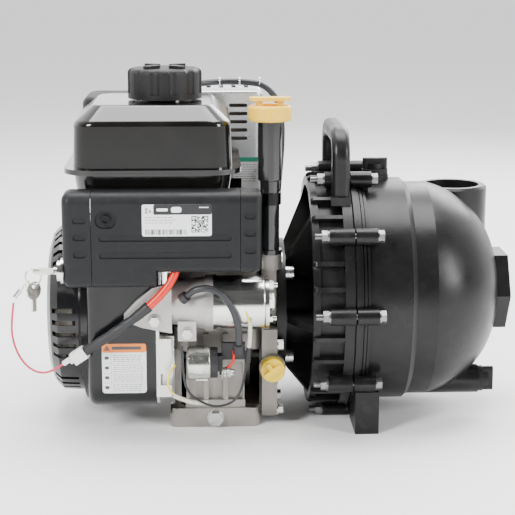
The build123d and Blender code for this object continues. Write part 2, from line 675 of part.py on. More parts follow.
def panel_main():
    """Middle panel with its step, two long grooves and an oval screw recess."""
    seam = 0.5
    left = panel_shell(PANEL_SEAM_L + seam, PANEL_STEP_X, PANEL_LOW, 0, 0)
    right = panel_shell(PANEL_STEP_X, PANEL_SEAM_R - seam, PANEL_HIGH, 0, 0)
    step = box(PANEL_STEP_X - PANEL_WALL, PANEL_STEP_X, PANEL_FRONT + 3, PANEL_BACK, PANEL_LOW + 1,
               PANEL_HIGH + 2)
    panel = left + right + step
    for z in (203.0, 186.0):
        panel -= front_groove(-112, 16.4, z)
    panel -= rod_z(-36.5, -115.5, 160, 176, 7)
    panel -= box(-128, -55, -106, PANEL_BACK + 4, 150, 217)
    panel -= front_slot(-115.6, -94.2, 212.5, 229.5, PANEL_FRONT - 1, PANEL_FRONT + 2)
    panel -= rod_y(-105, PANEL_FRONT - 1, -120, 221, 2.6)
    return panel


def panel_end_left():
    """Left end piece, rounded to the left, that carries the key switch."""
    end = panel_shell(PANEL_X0, PANEL_SEAM_L, PANEL_LOW, 8.0, 0)
    for z in (220.5, 204.0, 187.0):
        end -= front_groove(-137, -124, z)
    end -= box(-128.5, PANEL_SEAM_L + 1, -106, PANEL_BACK + 4, 150, 217)
    end -= rod_x(PANEL_X0 - 1, PANEL_X0 + 4, KEY_Y, KEY_Z, 8.9)
    return end


def panel_end_right():
    """Right end piece with four short grooves."""
    end = panel_shell(PANEL_SEAM_R, PANEL_X1, PANEL_HIGH, 0, 6.0)
    for z in (224.0, 207.0, 190.0):
        end -= front_groove(28.5, 40, z)
    return end


KEY_Y, KEY_Z = -112.0, 168.0


def panel_screw():
    """Socket screw in the panel's recess."""
    screw = rod_y(-105, PANEL_FRONT - 1.5, PANEL_FRONT + 2, 221, 5)
    screw += rod_y(-105, PANEL_FRONT + 2, -112, 221, 2.6)
    screw -= hex_y(-105, PANEL_FRONT + 0.8, PANEL_FRONT - 2, 221, 5)
    return screw


def panel_bracket():
    """Sheet bracket behind the panel, fixed to the crankcase and the blower housing."""
    plate = box(-114, 38, -100.4, -98.6, 217, 240) + box(-53, 38, -100.4, -98.6, 172.4, 218)
    plate -= box(-44, -20, -101, -98, 190, 212)
    arm = box(-22, 28, -100.4, -57, 172.4, 174.4) + box(-22, 28, -59, -56.4, 162, 174)
    post = box(-107.5, -102.5, -116, -100.4, 216, 226)
    return plate + arm + post - rod_y(-105, -117, -105, 221, 2.6)


def key_switch():
    """Switch barrel with its bezel on the left end of the panel."""
    switch = rod_x(PANEL_X0 - 2.5, PANEL_X0, KEY_Y, KEY_Z, 13)
    switch += rod_x(PANEL_X0 - 6, PANEL_X0 - 2.5, KEY_Y, KEY_Z, 10.5)
    switch += rod_x(PANEL_X0, PANEL_X0 + 18, KEY_Y, KEY_Z, 8.8)
    switch -= rod_x(PANEL_X0 - 7, PANEL_X0 + 14, KEY_Y, KEY_Z, 4.2)
    return switch


BOW_X = PANEL_X0 - 19
BOW_R = 11.5
BOW_HOLE_X = BOW_X - 5.5
KEYRING_R = 7.8
KEYRING_WIRE = 0.8
KEYRING_X, KEYRING_Z = BOW_HOLE_X - 5.5, KEY_Z - 5.5
LOOP_R = 6.5


def ignition_key():
    """Key standing in the switch, its bow lying level."""
    x0 = PANEL_X0 - 6
    key = rod_x(x0 - 4, x0 + 18, KEY_Y, KEY_Z, 3.8)
    key += rod_z(BOW_X, KEY_Y, KEY_Z - 1, KEY_Z + 1, BOW_R)
    return key - rod_z(BOW_HOLE_X, KEY_Y, KEY_Z - 2, KEY_Z + 2, 4)


def key_ring():
    """Wire ring through the bow of the key, with the spare key on it."""
    return group([ring_wire(), spare_key()])


def ring_wire():
    """Closed wire ring."""
    return Pos(KEYRING_X, KEY_Y, KEYRING_Z) * Rot(90, 0, 0) * Torus(KEYRING_R, KEYRING_WIRE)


def spare_key():
    """Second key, hanging from the ring."""
    key = extrude(Circle(9), 2.0, both=False) + extrude(Pos(0, -14, 0) * Rectangle(5, 14), 2.0)
    key -= extrude(Pos(0, 5, -1) * Circle(2.8), 4)
    turned = Rot(0, 0, 50) * Rot(90, 0, 0) * (Pos(0, 0, -1) * key)
    return Pos(KEYRING_X, KEY_Y, KEYRING_Z - KEYRING_R - 6.0) * turned


def lanyard_ferrule():
    """Wire loop on the key ring and the crimped ferrule below it."""
    reach = (KEYRING_R + LOOP_R - 1.7) * math.sqrt(0.5)
    x = KEYRING_X - reach
    z = KEYRING_Z - reach
    loop = Pos(x, KEY_Y, z) * Rot(0, 135, 0) * Torus(LOOP_R, 0.6)
    barrel = Pos(x - 4.6 - 2.4, KEY_Y, z - 4.6 - 3.2) * Rot(0, 37, 0) * Cylinder(2.2, 9)
    return loop + barrel

# ------------------------------------------------------------------ starter


def starter_motor():
    """Starter's can, end plate, armature and pinion."""
    return group([starter_can(), starter_end_plate(), starter_armature(), starter_pinion()])


def starter_can():
    """Drawn steel starter body with its rolled ends."""
    can = rod_x(STARTER_X0, STARTER_X1 - 5, STARTER_Y, STARTER_Z, STARTER_R)
    can += rod_x(STARTER_X0, STARTER_X0 + 3, STARTER_Y, STARTER_Z, STARTER_R + 1)
    edges = [e for e in can.edges() if abs(e.center().X - (STARTER_X1 - 5)) < 0.1]
    can = fillet(edges, 2.5)
    return can - rod_x(STARTER_X0 + 2, STARTER_X1 - 8, STARTER_Y, STARTER_Z, STARTER_R - 2.5)


def starter_armature():
    """Armature on its shaft, inside the can."""
    core = rod_x(STARTER_X0 + 4, STARTER_X1 - 16, STARTER_Y, STARTER_Z, 19)
    core += rod_x(STARTER_X0 + 2.5, STARTER_X1 - 9, STARTER_Y, STARTER_Z, 5)
    return core


def starter_end_plate():
    """End plate with its three studs and nuts."""
    x0 = STARTER_X1 - 5
    plate = rod_x(x0, x0 + 3.5, STARTER_Y, STARTER_Z, STARTER_R - 0.5)
    plate += hex_x(x0 + 3.5, x0 + 9, STARTER_Y, STARTER_Z, 15)
    for angle in (20, 200):
        y, z = polar(20, angle)
        plate += hex_x(x0 + 3.5, x0 + 8, STARTER_Y + y, STARTER_Z + z, 8)
        plate += rod_x(x0 + 8, x0 + 12, STARTER_Y + y, STARTER_Z + z, 2.5)
    return plate


def starter_gear_case():
    """Cast nose of the starter, narrowing to the mounting tab on the left."""
    case = cone_x(-44, STARTER_X0, STARTER_Y, STARTER_Z, 21, STARTER_R)
    case += rod_x(-10, STARTER_X0, STARTER_Y, STARTER_Z, STARTER_R + 0.5)
    outline = Polyline((-43, 155), (-62, 150), (-79, 136), (-90, 124), (-90, 117), (-72, 110),
                       (-43, 104), close=True)
    nose = extrude(Plane.XZ * make_face(outline), 7)
    case += Pos(0, -105.4, 0) * nose
    case += box(-37, -19, -112.4, -104, 96, 116)
    for x, z in NOSE_BOLTS:
        case += rod_y(x, -114, -106, z, 6.5)
    case += box(-40, -14, -70, -60.4, 118, 142)
    case -= rod_x(-45, STARTER_X0 - 4, STARTER_Y, STARTER_Z, 14)
    return case


NOSE_BOLTS = ((-60, 117), (-28, 104))


def starter_pinion():
    """Drive pinion, parked clear of the ring gear."""
    pinion = rod_x(-96, -86, STARTER_Y, STARTER_Z, 9.5)
    return pinion + rod_x(-86, -30, STARTER_Y, STARTER_Z, 5)


def starter_bolts():
    """Bolts of the starter's nose."""
    bolts = []
    for x, z in NOSE_BOLTS:
        bolts.append(hex_y(x, -114, -118, z, 9))
    return bolts


def solenoid():
    """Starter solenoid on its strap, with the moulded terminal end."""
    can = rod_x(SOLENOID_X0, SOLENOID_X1 - 5, SOLENOID_Y, SOLENOID_Z, SOLENOID_R)
    can = fillet(can.edges(), 2)
    strap = box(-20, -8, SOLENOID_Y, CASE_FRONT - 5, SOLENOID_Z - SOLENOID_R - 2, SOLENOID_Z - SOLENOID_R + 3)
    return can + strap


def solenoid_cap():
    """Moulded end of the solenoid with its terminal post."""
    x0 = SOLENOID_X1 - 5
    cap = rod_x(x0, x0 + 7, SOLENOID_Y, SOLENOID_Z, SOLENOID_R - 1.5)
    cap += box(x0 + 6, x0 + 12, SOLENOID_Y - 6, SOLENOID_Y + 6, SOLENOID_Z - 8, SOLENOID_Z + 8)
    cap += box(x0 + 11, 30, SOLENOID_Y + 2, SOLENOID_Y + 8, SOLENOID_Z + 2, 90)
    cap += rod_y(23, SOLENOID_Y - 14, SOLENOID_Y + 3, 83, 3)
    return cap

# ------------------------------------------------------------------ leads

BATTERY_R = 4.2
BATTERY_ROUTE = ((-35, -114, 196), (-35.5, -115, 177), (-42, -119, 158.5), (-57, -123, 141),
                 (-80, -124, 122), (-105, -121, 104), (-128, -117, 88))
LANYARD_R = 1.1
LANYARD_ROUTE = ((-150, -114.5, 75), (-163, -111, 65), (-178, -105, 63), (-191, -100, 71),
                 (-199, -99, 86), (-202, -101, 103), (-200.5, -105, 120), (-197.8, -110, 136))
STARTER_LEAD_R = 3.4
STARTER_LEAD = ((-28, -120, 144), (-20, -124, 151), (-6, -126, 153.5), (8, -126, 146),
                (18, -125.5, 130), (23, -124, 111), (23, -120, 94))
HARNESS_R = 3.4
HARNESS = ((-44, 70, 298), (-40, 74, 318), (-24, 84, 331.5), (4, 97, 333), (32, 100, 333),
           (57, 98, 330), (72, 91, 314), (76, 82, 290), (75, 70, 263), (72, 56, 237),
           (69, 44, 212))


def corner_radii(points):
    """Fillet radius of each corner of a route, 0.45 of the shorter run over tan(half turn)."""
    radii = []
    for i in range(1, len(points) - 1):
        before = Vector(*points[i]) - Vector(*points[i - 1])
        after = Vector(*points[i + 1]) - Vector(*points[i])
        half = math.radians(before.get_angle(after) / 2)
        radii.append(0.45 * min(before.length, after.length) / math.tan(half))
    return radii


def tube_on(points, r, name):
    """Round lead of straight runs and tangent arcs."""
    radii = corner_radii(points)
    path = FilletPolyline(*points, radius=radii)
    start = Plane(origin=path @ 0, z_dir=path % 0)
    tube = sweep(start * Circle(r), path=path)
    print(name, "length", round(path.length, 1), "radii", [round(v, 1) for v in radii],
          "volume ratio", round(tube.volume / (math.pi * r * r * path.length), 4))
    return tube


def end_frame(points, last):
    """Plane at the first or last point of a route, facing out of it."""
    if last:
        a, b = points[-2], points[-1]
    else:
        a, b = points[1], points[0]
    return Plane(origin=b, z_dir=Vector(*b) - Vector(*a))


def battery_cable():
    """Positive lead out of the panel."""
    return tube_on(BATTERY_ROUTE, BATTERY_R, "battery_cable")


def battery_plug():
    """Connector on the end of the positive lead, with the crimp of the lanyard."""
    at = end_frame(BATTERY_ROUTE, True)
    body = at * extrude(RectangleRounded(13, 10, 2), 15)
    neck = at * Pos(0, 0, 15) * Cylinder(3.4, 8)
    crimp = end_frame(LANYARD_ROUTE, False) * extrude(Circle(2.6), 8)
    return body + neck + crimp


def key_lanyard():
    """Thin coated lanyard from the connector to the key ring."""
    return tube_on(LANYARD_ROUTE, LANYARD_R, "key_lanyard")


def starter_lead():
    """Heavy lead from the starter's nose to the solenoid post."""
    return tube_on(STARTER_LEAD, STARTER_LEAD_R, "starter_lead")


def terminal_boots():
    """Boots of the starter lead and the spark plug, and the solenoid's moulded end."""
    left = end_frame(STARTER_LEAD, False) * extrude(Circle(5.2), 6.5, taper=-4)
    right = end_frame(STARTER_LEAD, True) * extrude(Circle(5.2), 9, taper=-4)
    return group([left, right, plug_boot(), solenoid_cap()])


def wiring_harness():
    """Loom over the muffler guard and down to the crankcase cover."""
    return tube_on(HARNESS, HARNESS_R, "wiring_harness")

# ------------------------------------------------------------------ dipstick and oil caps


def dipstick_tube():
    """Filler tube, stepped down towards its seat, with its clamp and seal."""
    tube = rod_z(TUBE_X, TUBE_Y, 250, TUBE_Z1, 12) + rod_z(TUBE_X, TUBE_Y, TUBE_Z0 + 4, 250, 9.6)
    step = [e for e in tube.edges() if abs(e.center().Z - 250) < 0.1 and e.length > 70]
    tube = fillet(step, 1.5)
    tube += rod_z(TUBE_X, TUBE_Y, TUBE_Z0, TUBE_Z0 + 4, 12)
    return tube - rod_z(TUBE_X, TUBE_Y, TUBE_Z0 - 1, TUBE_Z1 + 1, 7)


def tube_clamp():
    """Clip that ties the tube to the tank bracket."""
    clip = rod_z(TUBE_X, TUBE_Y, 226, 238, 11.4) - rod_z(TUBE_X, TUBE_Y, 225, 239, 9.6)
    arm = box(38, TUBE_X - 8, -56, -53.5, 226, 236) + box(38, 40, -57, -52, 214, 236)
    link = box(TUBE_X - 12, TUBE_X - 9, -66, -53.5, 226, 236)
    return clip + arm + link


def dipstick():
    """Collar cap with its two posts, the T handle and the gauge blade."""
    collar = rod_z(TUBE_X, TUBE_Y, TUBE_Z1 + 0.4, 325, 21.5)
    collar = fillet(collar.edges(), 3)
    collar -= rod_z(TUBE_X, TUBE_Y, 325 - 4, 326, 14)
    cap = collar + rod_z(TUBE_X, TUBE_Y, TUBE_Z1 - 12, 322, 6.6)
    for dx in (-10.5, 10.5):
        cap += box(TUBE_X + dx - 3, TUBE_X + dx + 3, TUBE_Y - 5, TUBE_Y + 5, 320, 330)
    plate = rounded_block(TUBE_X - 20.5, TUBE_X + 20.5, TUBE_Y - 8, TUBE_Y + 8, 329.4, 332.8, 6)
    cap += plate
    return cap + box(TUBE_X - 3, TUBE_X + 3, TUBE_Y - 0.8, TUBE_Y + 0.8, TUBE_Z0 + 8, TUBE_Z1)


def oil_fill_cap():
    """Oil filler cap with an S-shaped finger ridge."""
    cap = rod_y(OIL_CAP_X, -96, -84.4, OIL_CAP_Z, OIL_CAP_R)
    cap = fillet(cap.edges(), 1.5)
    cap += rod_y(OIL_CAP_X, -85, -68, OIL_CAP_Z, 8)
    ridge = extrude(Rot(0, 0, 35) * SlotOverall(20, 5), 5)
    ridge += extrude(Rot(0, 0, 125) * Pos(5, 0, 0) * SlotOverall(9, 4), 4)
    return cap + Pos(OIL_CAP_X, -95.5, OIL_CAP_Z) * Rot(90, 0, 0) * ridge


def oil_drain_bolt():
    """Drain bolt with its washer in the front of the base."""
    head = rod_y(0, BASE_Y0 - 1.5, BASE_Y0, DRAIN_BOLT_Z, 8.5)
    head += hex_y(0, BASE_Y0 - 1.5, BASE_Y0 - 8, DRAIN_BOLT_Z, 13)
    return head + rod_y(0, BASE_Y0 - 1, BASE_Y0 + 15, DRAIN_BOLT_Z, 5.9)

# ------------------------------------------------------------------ exhaust and intake

GUARD_X = (-22.0, 56.0)
GUARD_Y = (79.0, 168.0)
GUARD_Z = (246.0, 325.0)


def muffler():
    """Pressed muffler on its flanged pipe."""
    shell = rounded_block(-14, 48, 88, 160, 256, 314, 14)
    edges = [e for e in shell.edges() if e.center().Z > 313 or e.center().Z < 257]
    shell = fillet(edges, 6)
    inner = rounded_block(-12, 46, 90, 158, 258, 312, 12)
    pipe = rod_z(EXHAUST_X, PORT_Y, 219.5, 257, 13)
    pipe += rod_z(EXHAUST_X, PORT_Y, 219.5, 225, 19)
    bore = rod_z(EXHAUST_X, PORT_Y, 218, 259, 10)
    outlet = rod_x(46, 52, 140, 285, 7) - rod_x(45, 53, 140, 285, 5)
    return shell + pipe - inner - bore + outlet


def muffler_guard():
    """Louvred sheet guard round the muffler, with a skirt over the head."""
    outer = side_plate(GUARD_X[0], GUARD_X[1], GUARD_Y[0], GUARD_Y[1], GUARD_Z[0], GUARD_Z[1], 3)
    top = [e for e in outer.edges().filter_by(Axis.Y) if e.center().Z > GUARD_Z[1] - 1]
    outer = fillet(top, 9)
    w = 1.5
    inner = box(GUARD_X[0] + w, GUARD_X[1] - w, GUARD_Y[0] + w, GUARD_Y[1] - w, GUARD_Z[0] - 1,
                GUARD_Z[1] - w)
    top = [e for e in inner.edges().filter_by(Axis.Y) if e.center().Z > GUARD_Z[1] - w - 1]
    guard = outer - fillet(top, 7.5)
    guard += box(12, GUARD_X[1], GUARD_Y[0], GUARD_Y[0] + w, 214, GUARD_Z[0] + 1)
    guard += box(12, 16, GUARD_Y[0], 99, 214, 216)
    louvre = SlotOverall(20, 4)
    cutters = []
    for i in range(5):
        z = GUARD_Z[1] - 16 - 9 * i
        cutters.append(extrude(Pos(28, GUARD_Y[0] + 3, z) * Rot(90, 0, 0) * louvre, 6))
        cutters.append(extrude(Pos(GUARD_X[1] - 3, 124, z) * Rot(0, 90, 0) * Rot(0, 0, 90)
                               * SlotOverall(44, 4), 6))
        cutters.append(extrude(Pos(17, GUARD_Y[1] - 3, z) * Rot(-90, 0, 0) * SlotOverall(52, 4), 6))
    guard -= Compound(children=cutters)
    for i in range(4):
        guard -= extrude(Pos(-4 + 14 * i, 135, GUARD_Z[1] - 3) * Rot(0, 0, 90) * SlotOverall(40, 5), 6)
    return guard


CARB_X = (-70.0, -8.0)
CARB_Z = 230.0
BOWL_X = -55.0
CHOKE_X = -54.0
THROTTLE_X = -36.0
CLEANER_X = (-142.0, -72.0)
CLEANER_Y = (76.0, 168.0)


def carburetor():
    """Carburettor body on its flange, with the float bowl."""
    body = box(-62, CARB_X[1], PORT_Y - 15, PORT_Y + 15, 212.4, 246)
    body = fillet(body.edges().filter_by(Axis.Z), 5)
    body += rod_x(CARB_X[0], -60, PORT_Y, CARB_Z, 17)
    body += rod_z(BOWL_X, PORT_Y, 196, 214, 12.8) + rod_z(BOWL_X, PORT_Y, 190, 197, 6)
    body -= rod_x(CARB_X[0] - 1, -20, PORT_Y, CARB_Z, 12)
    body -= rod_z(INTAKE_X, PORT_Y, 211, 232, 9)
    return body


def carb_lever(x):
    """Short lever with a finger knob on an upright shaft."""
    lever = rod_z(x, PORT_Y - 4, 246.4, 249, 5)
    lever += box(x - 2, x + 2, PORT_Y - 24, PORT_Y - 4, 246.4, 249)
    return lever + rod_z(x, PORT_Y - 24, 246.4, 252, 4)


def choke_lever():
    """Choke lever on its shaft, on top of the carburettor."""
    return carb_lever(CHOKE_X)


def throttle_lever():
    """Throttle lever on its shaft, beside the choke lever."""
    return carb_lever(THROTTLE_X)


def fuel_valve_lever():
    """Fuel shut-off lever below the carburettor."""
    lever = rod_z(BOWL_X, PORT_Y, 183, 189.6, 7)
    return lever + box(BOWL_X - 2, BOWL_X + 2, PORT_Y, PORT_Y + 24, 183, 187)


def air_cleaner_base():
    """Air cleaner base with the filter element."""
    return group([cleaner_plate(), air_filter()])


def cleaner_plate():
    """Base plate on the carburettor's mouth."""
    x1 = CLEANER_X[1]
    plate = side_plate(x1 - 3, x1, CLEANER_Y[0], CLEANER_Y[1], 215, 316, 10)
    plate += ring_x(x1 - 1, CARB_X[0] - 0.2, PORT_Y, CARB_Z, 22, 13)
    return plate - rod_x(x1 - 4, x1 + 1, PORT_Y, CARB_Z, 13)


def air_cleaner_cover():
    """Moulded air cleaner cover, rounded at its left end, with a knob."""
    x1 = CLEANER_X[1] - 3.3
    outer = rounded_block(CLEANER_X[0], x1, CLEANER_Y[0], CLEANER_Y[1], 214, 318, 18)
    outer = fillet([e for e in outer.edges() if e.center().Z > 317], 8)
    inner = box(CLEANER_X[0] + 12, x1 + 1, CLEANER_Y[0] + 3, CLEANER_Y[1] - 3, 217, 314)
    cover = outer - inner
    cover += rod_x(CLEANER_X[0] - 3, CLEANER_X[0] + 4, 122, 268, 9)
    for z in (296, 304):
        cover -= box(CLEANER_X[0] + 14, x1 - 8, CLEANER_Y[0] - 1, CLEANER_Y[0] + 1.2, z - 1.5, z + 1.5)
    return cover


def air_filter():
    """Pleated element inside the air cleaner."""
    return box(CLEANER_X[0] + 18, CLEANER_X[1] - 3.2, CLEANER_Y[0] + 12, CLEANER_Y[1] - 12, 226, 300)

# ------------------------------------------------------------------ pump

FACE_R = 113.0                  # bore of the adapter and the mouth of the body
BOSS_R = 8.2
LOW_BOSS_R = 6.6                # the two bosses beside the foot are slimmer
BOSS_X0, BOSS_X1 = 112.7, 160.6
NUT_AF = 11.0
WASHER_R = 6.6
BOLT_R = 3.4
HANDLE_X = (119.0, 136.0)
HANDLE_Y = 60.0
HANDLE_TOP = 300.0
FOOT_X = (141.0, 165.0)
FOOT_Y = 104.0
ARM_ANGLES = (32, 90, 148, 212, 270, 328)


def bolt_angles():
    """Angles of the flange bolts from the top."""
    return [360 / BOLT_COUNT * (i + 0.5) for i in range(BOLT_COUNT)]


def boss_radius(angle):
    """Radius of the flange boss at an angle from the top."""
    return LOW_BOSS_R if abs(angle - 180) < 30 else BOSS_R


def rim_distance(angle):
    """Distance from the shaft to the adapter's wall along an angle from the top."""
    a = math.radians(angle)
    rise = (PUMP_Z - CRANK_Z) * math.cos(a)
    side = (PUMP_Z - CRANK_Z) * math.sin(a)
    return rise + math.sqrt((RING_R - 4.5) ** 2 - side ** 2)


def pump_adapter():
    """Ribbed bracket between the engine's face and the pump flange."""
    part = ring_x(ADAPTER_X0, JOINT_X, 0, PUMP_Z, RING_R - 3, FACE_R - 3.5)
    part += ring_x(ADAPTER_X0 - 4, ADAPTER_X0 + 3, 0, PUMP_Z, RING_R, FACE_R - 3.5)
    part += ring_x(FLANGE_X0, JOINT_X, 0, PUMP_Z, RING_R + 5, FACE_R - 3.5)
    part += rod_x(124, 130, 0, PUMP_Z, FACE_R - 2)
    part += rod_x(COVER_X1 + 10, 127, 0, CRANK_Z, 46)
    for angle in ARM_ANGLES:
        rim = rim_distance(angle)
        outline = Polyline((COVER_X1 + 0.4, 44), (COVER_X1 + 0.4, 66), (COVER_X1 + 11, 68),
                           (ADAPTER_X0 - 2, rim), (125, rim), (125, 44), close=True)
        web = Rot(90, 0, 0) * extrude(make_face(outline), 4, both=True)
        part += Pos(0, 0, CRANK_Z) * Rot(angle, 0, 0) * web
    part += ring_x(COVER_X1 + 0.4, COVER_X1 + 10, 0, CRANK_Z, 70, 47)
    for angle in bolt_angles():
        y, z = polar(BOLT_CIRCLE_R, angle)
        part += rod_x(BOSS_X0, JOINT_X, y, PUMP_Z + z, boss_radius(angle))
        web = box(BOSS_X0 + 2, JOINT_X, -4, 4, RING_R - 5, BOLT_CIRCLE_R)
        part += Pos(0, 0, PUMP_Z) * Rot(angle, 0, 0) * web
    for i in range(3 * BOLT_COUNT):
        if i % 3:
            angle = 360 / BOLT_COUNT / 2 + 12 * i
            rib = rounded_rib(ADAPTER_X0 - 4, FLANGE_X0 + 1, RING_R - 5, RING_R + 4, 4.5)
            part += Pos(0, 0, PUMP_Z) * Rot(angle, 0, 0) * rib
    part -= rod_x(COVER_X1 - 1, 131, 0, CRANK_Z, SHAFT_R + 3)
    part -= rod_x(116, 131, 0, CRANK_Z, 24)
    part -= rod_x(COVER_X1, 116, 0, CRANK_Z, 38)
    for angle in bolt_angles():
        y, z = polar(BOLT_CIRCLE_R, angle)
        part -= rod_x(BOSS_X0 - 1, JOINT_X + 1, y, PUMP_Z + z, BOLT_R)
    return part


def rounded_rib(x0, x1, r0, r1, width):
    """Rib along X with a round left end, standing at the top of the ring."""
    rib = box(x0 + 4, x1, -width / 2, width / 2, r0, r1)
    nose = rod_y(x0 + 4.5, -width / 2, width / 2, (r0 + r1) / 2, (r1 - r0) / 2)
    return rib + nose


def gaskets():
    """Gaskets of the pump flange and of the cylinder head."""
    return group([body_gasket(), head_gasket()])


def body_gasket():
    """Gasket between adapter and body."""
    return ring_x(JOINT_X, JOINT_X + GASKET, 0, PUMP_Z, RING_R, FACE_R)


def body_outline(shrink):
    """Half outline of the body about its axis, shrunk by a wall thickness."""
    s = shrink
    front = JOINT_X + GASKET - (1 if s else 0)
    edge = Polyline((front, 0), (front, BODY_R - s), (BODY_STEP_X - s / 2, BODY_R - s),
                    (BODY_STEP_X + 5 - s / 2, DOME_R - s), (222, DOME_R - s))
    arc = ThreePointArc((222, DOME_R - s), (277.5 - 0.8 * s, 78 - 0.6 * s), (DOME_X1 - s, 30))
    end = Polyline((DOME_X1 - s, 30), (DOME_X1 - s, 0), (front, 0))
    return make_face(edge + arc + end)


def flap_hinge():
    """Moulded ears and pin that the flap hangs on."""
    hinge = rod_y(FLAP_X - 4, -20, 20, FLAP_Z, 2)
    for y in (-20, 14):
        hinge += box(FLAP_X - 8, DOME_X1 - 5, y, y + 6, FLAP_Z - 5, FLAP_Z + 5)
    return hinge


def pump_body():
    """Domed body with its flange, ports, priming neck and drain boss."""
    at = Pos(0, 0, PUMP_Z)
    x0 = JOINT_X + GASKET
    body = at * revolve(body_outline(0), Axis.X)
    body += rod_x(x0, x0 + 4.5, 0, PUMP_Z, RING_R + 5)
    for i in range(3):
        body += rod_x(x0 + 4.5 + 3.6 * i, x0 + 6.9 + 3.6 * i, 0, PUMP_Z, RING_R + 4 - 1.2 * i)
    body += rod_x(x0 + 4, BODY_FLANGE_X1, 0, PUMP_Z, RING_R - 0.5)
    for angle in bolt_angles():
        y, z = polar(BOLT_CIRCLE_R, angle)
        body += rod_x(x0, BOSS_X1, y, PUMP_Z + z, boss_radius(angle))
        web = box(x0, BOSS_X1 - 3, -4, 4, RING_R - 5, BOLT_CIRCLE_R)
        body += at * Rot(angle, 0, 0) * web
    body += hex_x(DOME_X1 - 4, SUCTION_X1, 0, SUCTION_Z, SUCTION_AF, turn=30)
    body += rod_x(270, DOME_X1, 0, SUCTION_Z, 38)
    port = rod_z(DISCHARGE_X, DISCHARGE_Y, 150, DISCHARGE_Z, DISCHARGE_OUT_R)
    body += chamfer(port.edges().sort_by(Axis.Z)[-1], 2.5)
    body += rod_z(PRIME_X, 0, PUMP_Z + 100, PRIME_Z - 4, 14.3)
    body += rod_x(BODY_STEP_X - 4, DRAIN_X1, DRAIN_Y, DRAIN_Z, 15)
    body += box(196, 232, 8, 64, 200, DISCHARGE_Z - 6)
    body -= at * revolve(body_outline(BODY_WALL), Axis.X)
    body += ring_x(276, DOME_X1 - 3, 0, SUCTION_Z, 36, PORT_R)
    body -= rod_x(270, SUCTION_X1 + 1, 0, SUCTION_Z, PORT_R)
    body -= rod_z(DISCHARGE_X, DISCHARGE_Y, DISCHARGE_Z, DISCHARGE_Z + 15, DISCHARGE_OUT_R)
    body -= rod_z(DISCHARGE_X, DISCHARGE_Y, 150, DISCHARGE_Z - 20, PORT_R - 4)
    body -= rod_z(DISCHARGE_X, DISCHARGE_Y, DISCHARGE_Z - DISCHARGE_THREAD, DISCHARGE_Z + 1, PORT_R)
    body -= rod_z(PRIME_X, 0, PUMP_Z + 90, PRIME_Z + 1, 10)
    body -= rod_x(BODY_STEP_X + 6, DRAIN_X1 + 1, DRAIN_Y, DRAIN_Z, 8)
    for angle in bolt_angles():
        y, z = polar(BOLT_CIRCLE_R, angle)
        body -= rod_x(x0 - 1, BOSS_X1 + 1, y, PUMP_Z + z, BOLT_R)
    return body + flap_hinge()


def pump_foot():
    """Two legs under the body's flange, hollowed from behind."""
    foot = box(FOOT_X[0], FOOT_X[1], -FOOT_Y, FOOT_Y, FLOOR_Z, 38)
    for y0, y1 in ((-98, -76), (76, 98)):
        foot -= box(FOOT_X[0] + 5, FOOT_X[1] + 1, y0, y1, FLOOR_Z + 5, 39)
    foot -= rod_x(FOOT_X[0] - 1, FOOT_X[1] + 1, 0, PUMP_Z, RING_R + 5.3)
    for angle in bolt_angles():
        y, z = polar(BOLT_CIRCLE_R, angle)
        foot -= rod_x(FOOT_X[0] - 1, FOOT_X[1] + 9, y, PUMP_Z + z, BOSS_R + 0.5)
    foot -= box(FOOT_X[0] - 1, FOOT_X[1] + 1, -49, 49, FLOOR_Z - 1, 39)
    return foot


def carry_handle():
    """Bent handle standing on the adapter's ring."""
    path = FilletPolyline((0, -HANDLE_Y, 222), (0, -HANDLE_Y, HANDLE_TOP - 9),
                          (0, HANDLE_Y, HANDLE_TOP - 9), (0, HANDLE_Y, 222), radius=22)
    section = Plane(origin=path @ 0, z_dir=path % 0) * RectangleRounded(18, 17, 6)
    bar = Pos((HANDLE_X[0] + HANDLE_X[1]) / 2, 0, 0) * sweep(section, path=path)
    for y in (-HANDLE_Y, HANDLE_Y):
        bar += box(HANDLE_X[0] - 2, HANDLE_X[1] + 1, y - 13, y + 13, 208, 232)
    return bar - rod_x(90, 150, 0, PUMP_Z, RING_R + 5.4)


def flange_bolts():
    """Ten bolts with washers and nuts through both flanges."""
    pieces = []
    for angle in bolt_angles():
        y, z = polar(BOLT_CIRCLE_R, angle)
        z += PUMP_Z
        bolt = rod_x(BOSS_X0 - 14, BOSS_X1, y, z, BOLT_R - 0.2)
        bolt += rod_x(BOSS_X1, BOSS_X1 + 1.6, y, z, WASHER_R)
        bolt += hex_x(BOSS_X1 + 1.6, BOSS_X1 + 6.6, y, z, NUT_AF)
        nut = hex_x(BOSS_X0 - 7.3, BOSS_X0 - 1.8, y, z, NUT_AF)
        nut += rod_x(BOSS_X0 - 1.8, BOSS_X0, y, z, WASHER_R)
        pieces.append(bolt)
        pieces.append(nut - rod_x(BOSS_X0 - 15, BOSS_X0 + 1, y, z, BOLT_R - 0.2))
    return group(pieces)


def adapter_bolts():
    """Bolts that hold the adapter's arms to the engine's face."""
    bolts = []
    for angle in (48, 132, 228, 312):
        y, z = polar(66, angle)
        bolts.append(rod_x(COVER_X1 + 10, COVER_X1 + 18, y, CRANK_Z + z, 7))
    return bolts


def volute():
    """Volute round the impeller, with its suction eye and its outlet."""
    shell = rod_x(130, 180, 0, CRANK_Z, 82) + rod_x(180, 206, 0, CRANK_Z, 36)
    shell -= rod_x(129, 175, 0, CRANK_Z, 76)
    shell -= rod_x(170, 207, 0, CRANK_Z, 30)
    shell -= box(138, 170, -20, 30, CRANK_Z + 60, CRANK_Z + 90)
    return shell


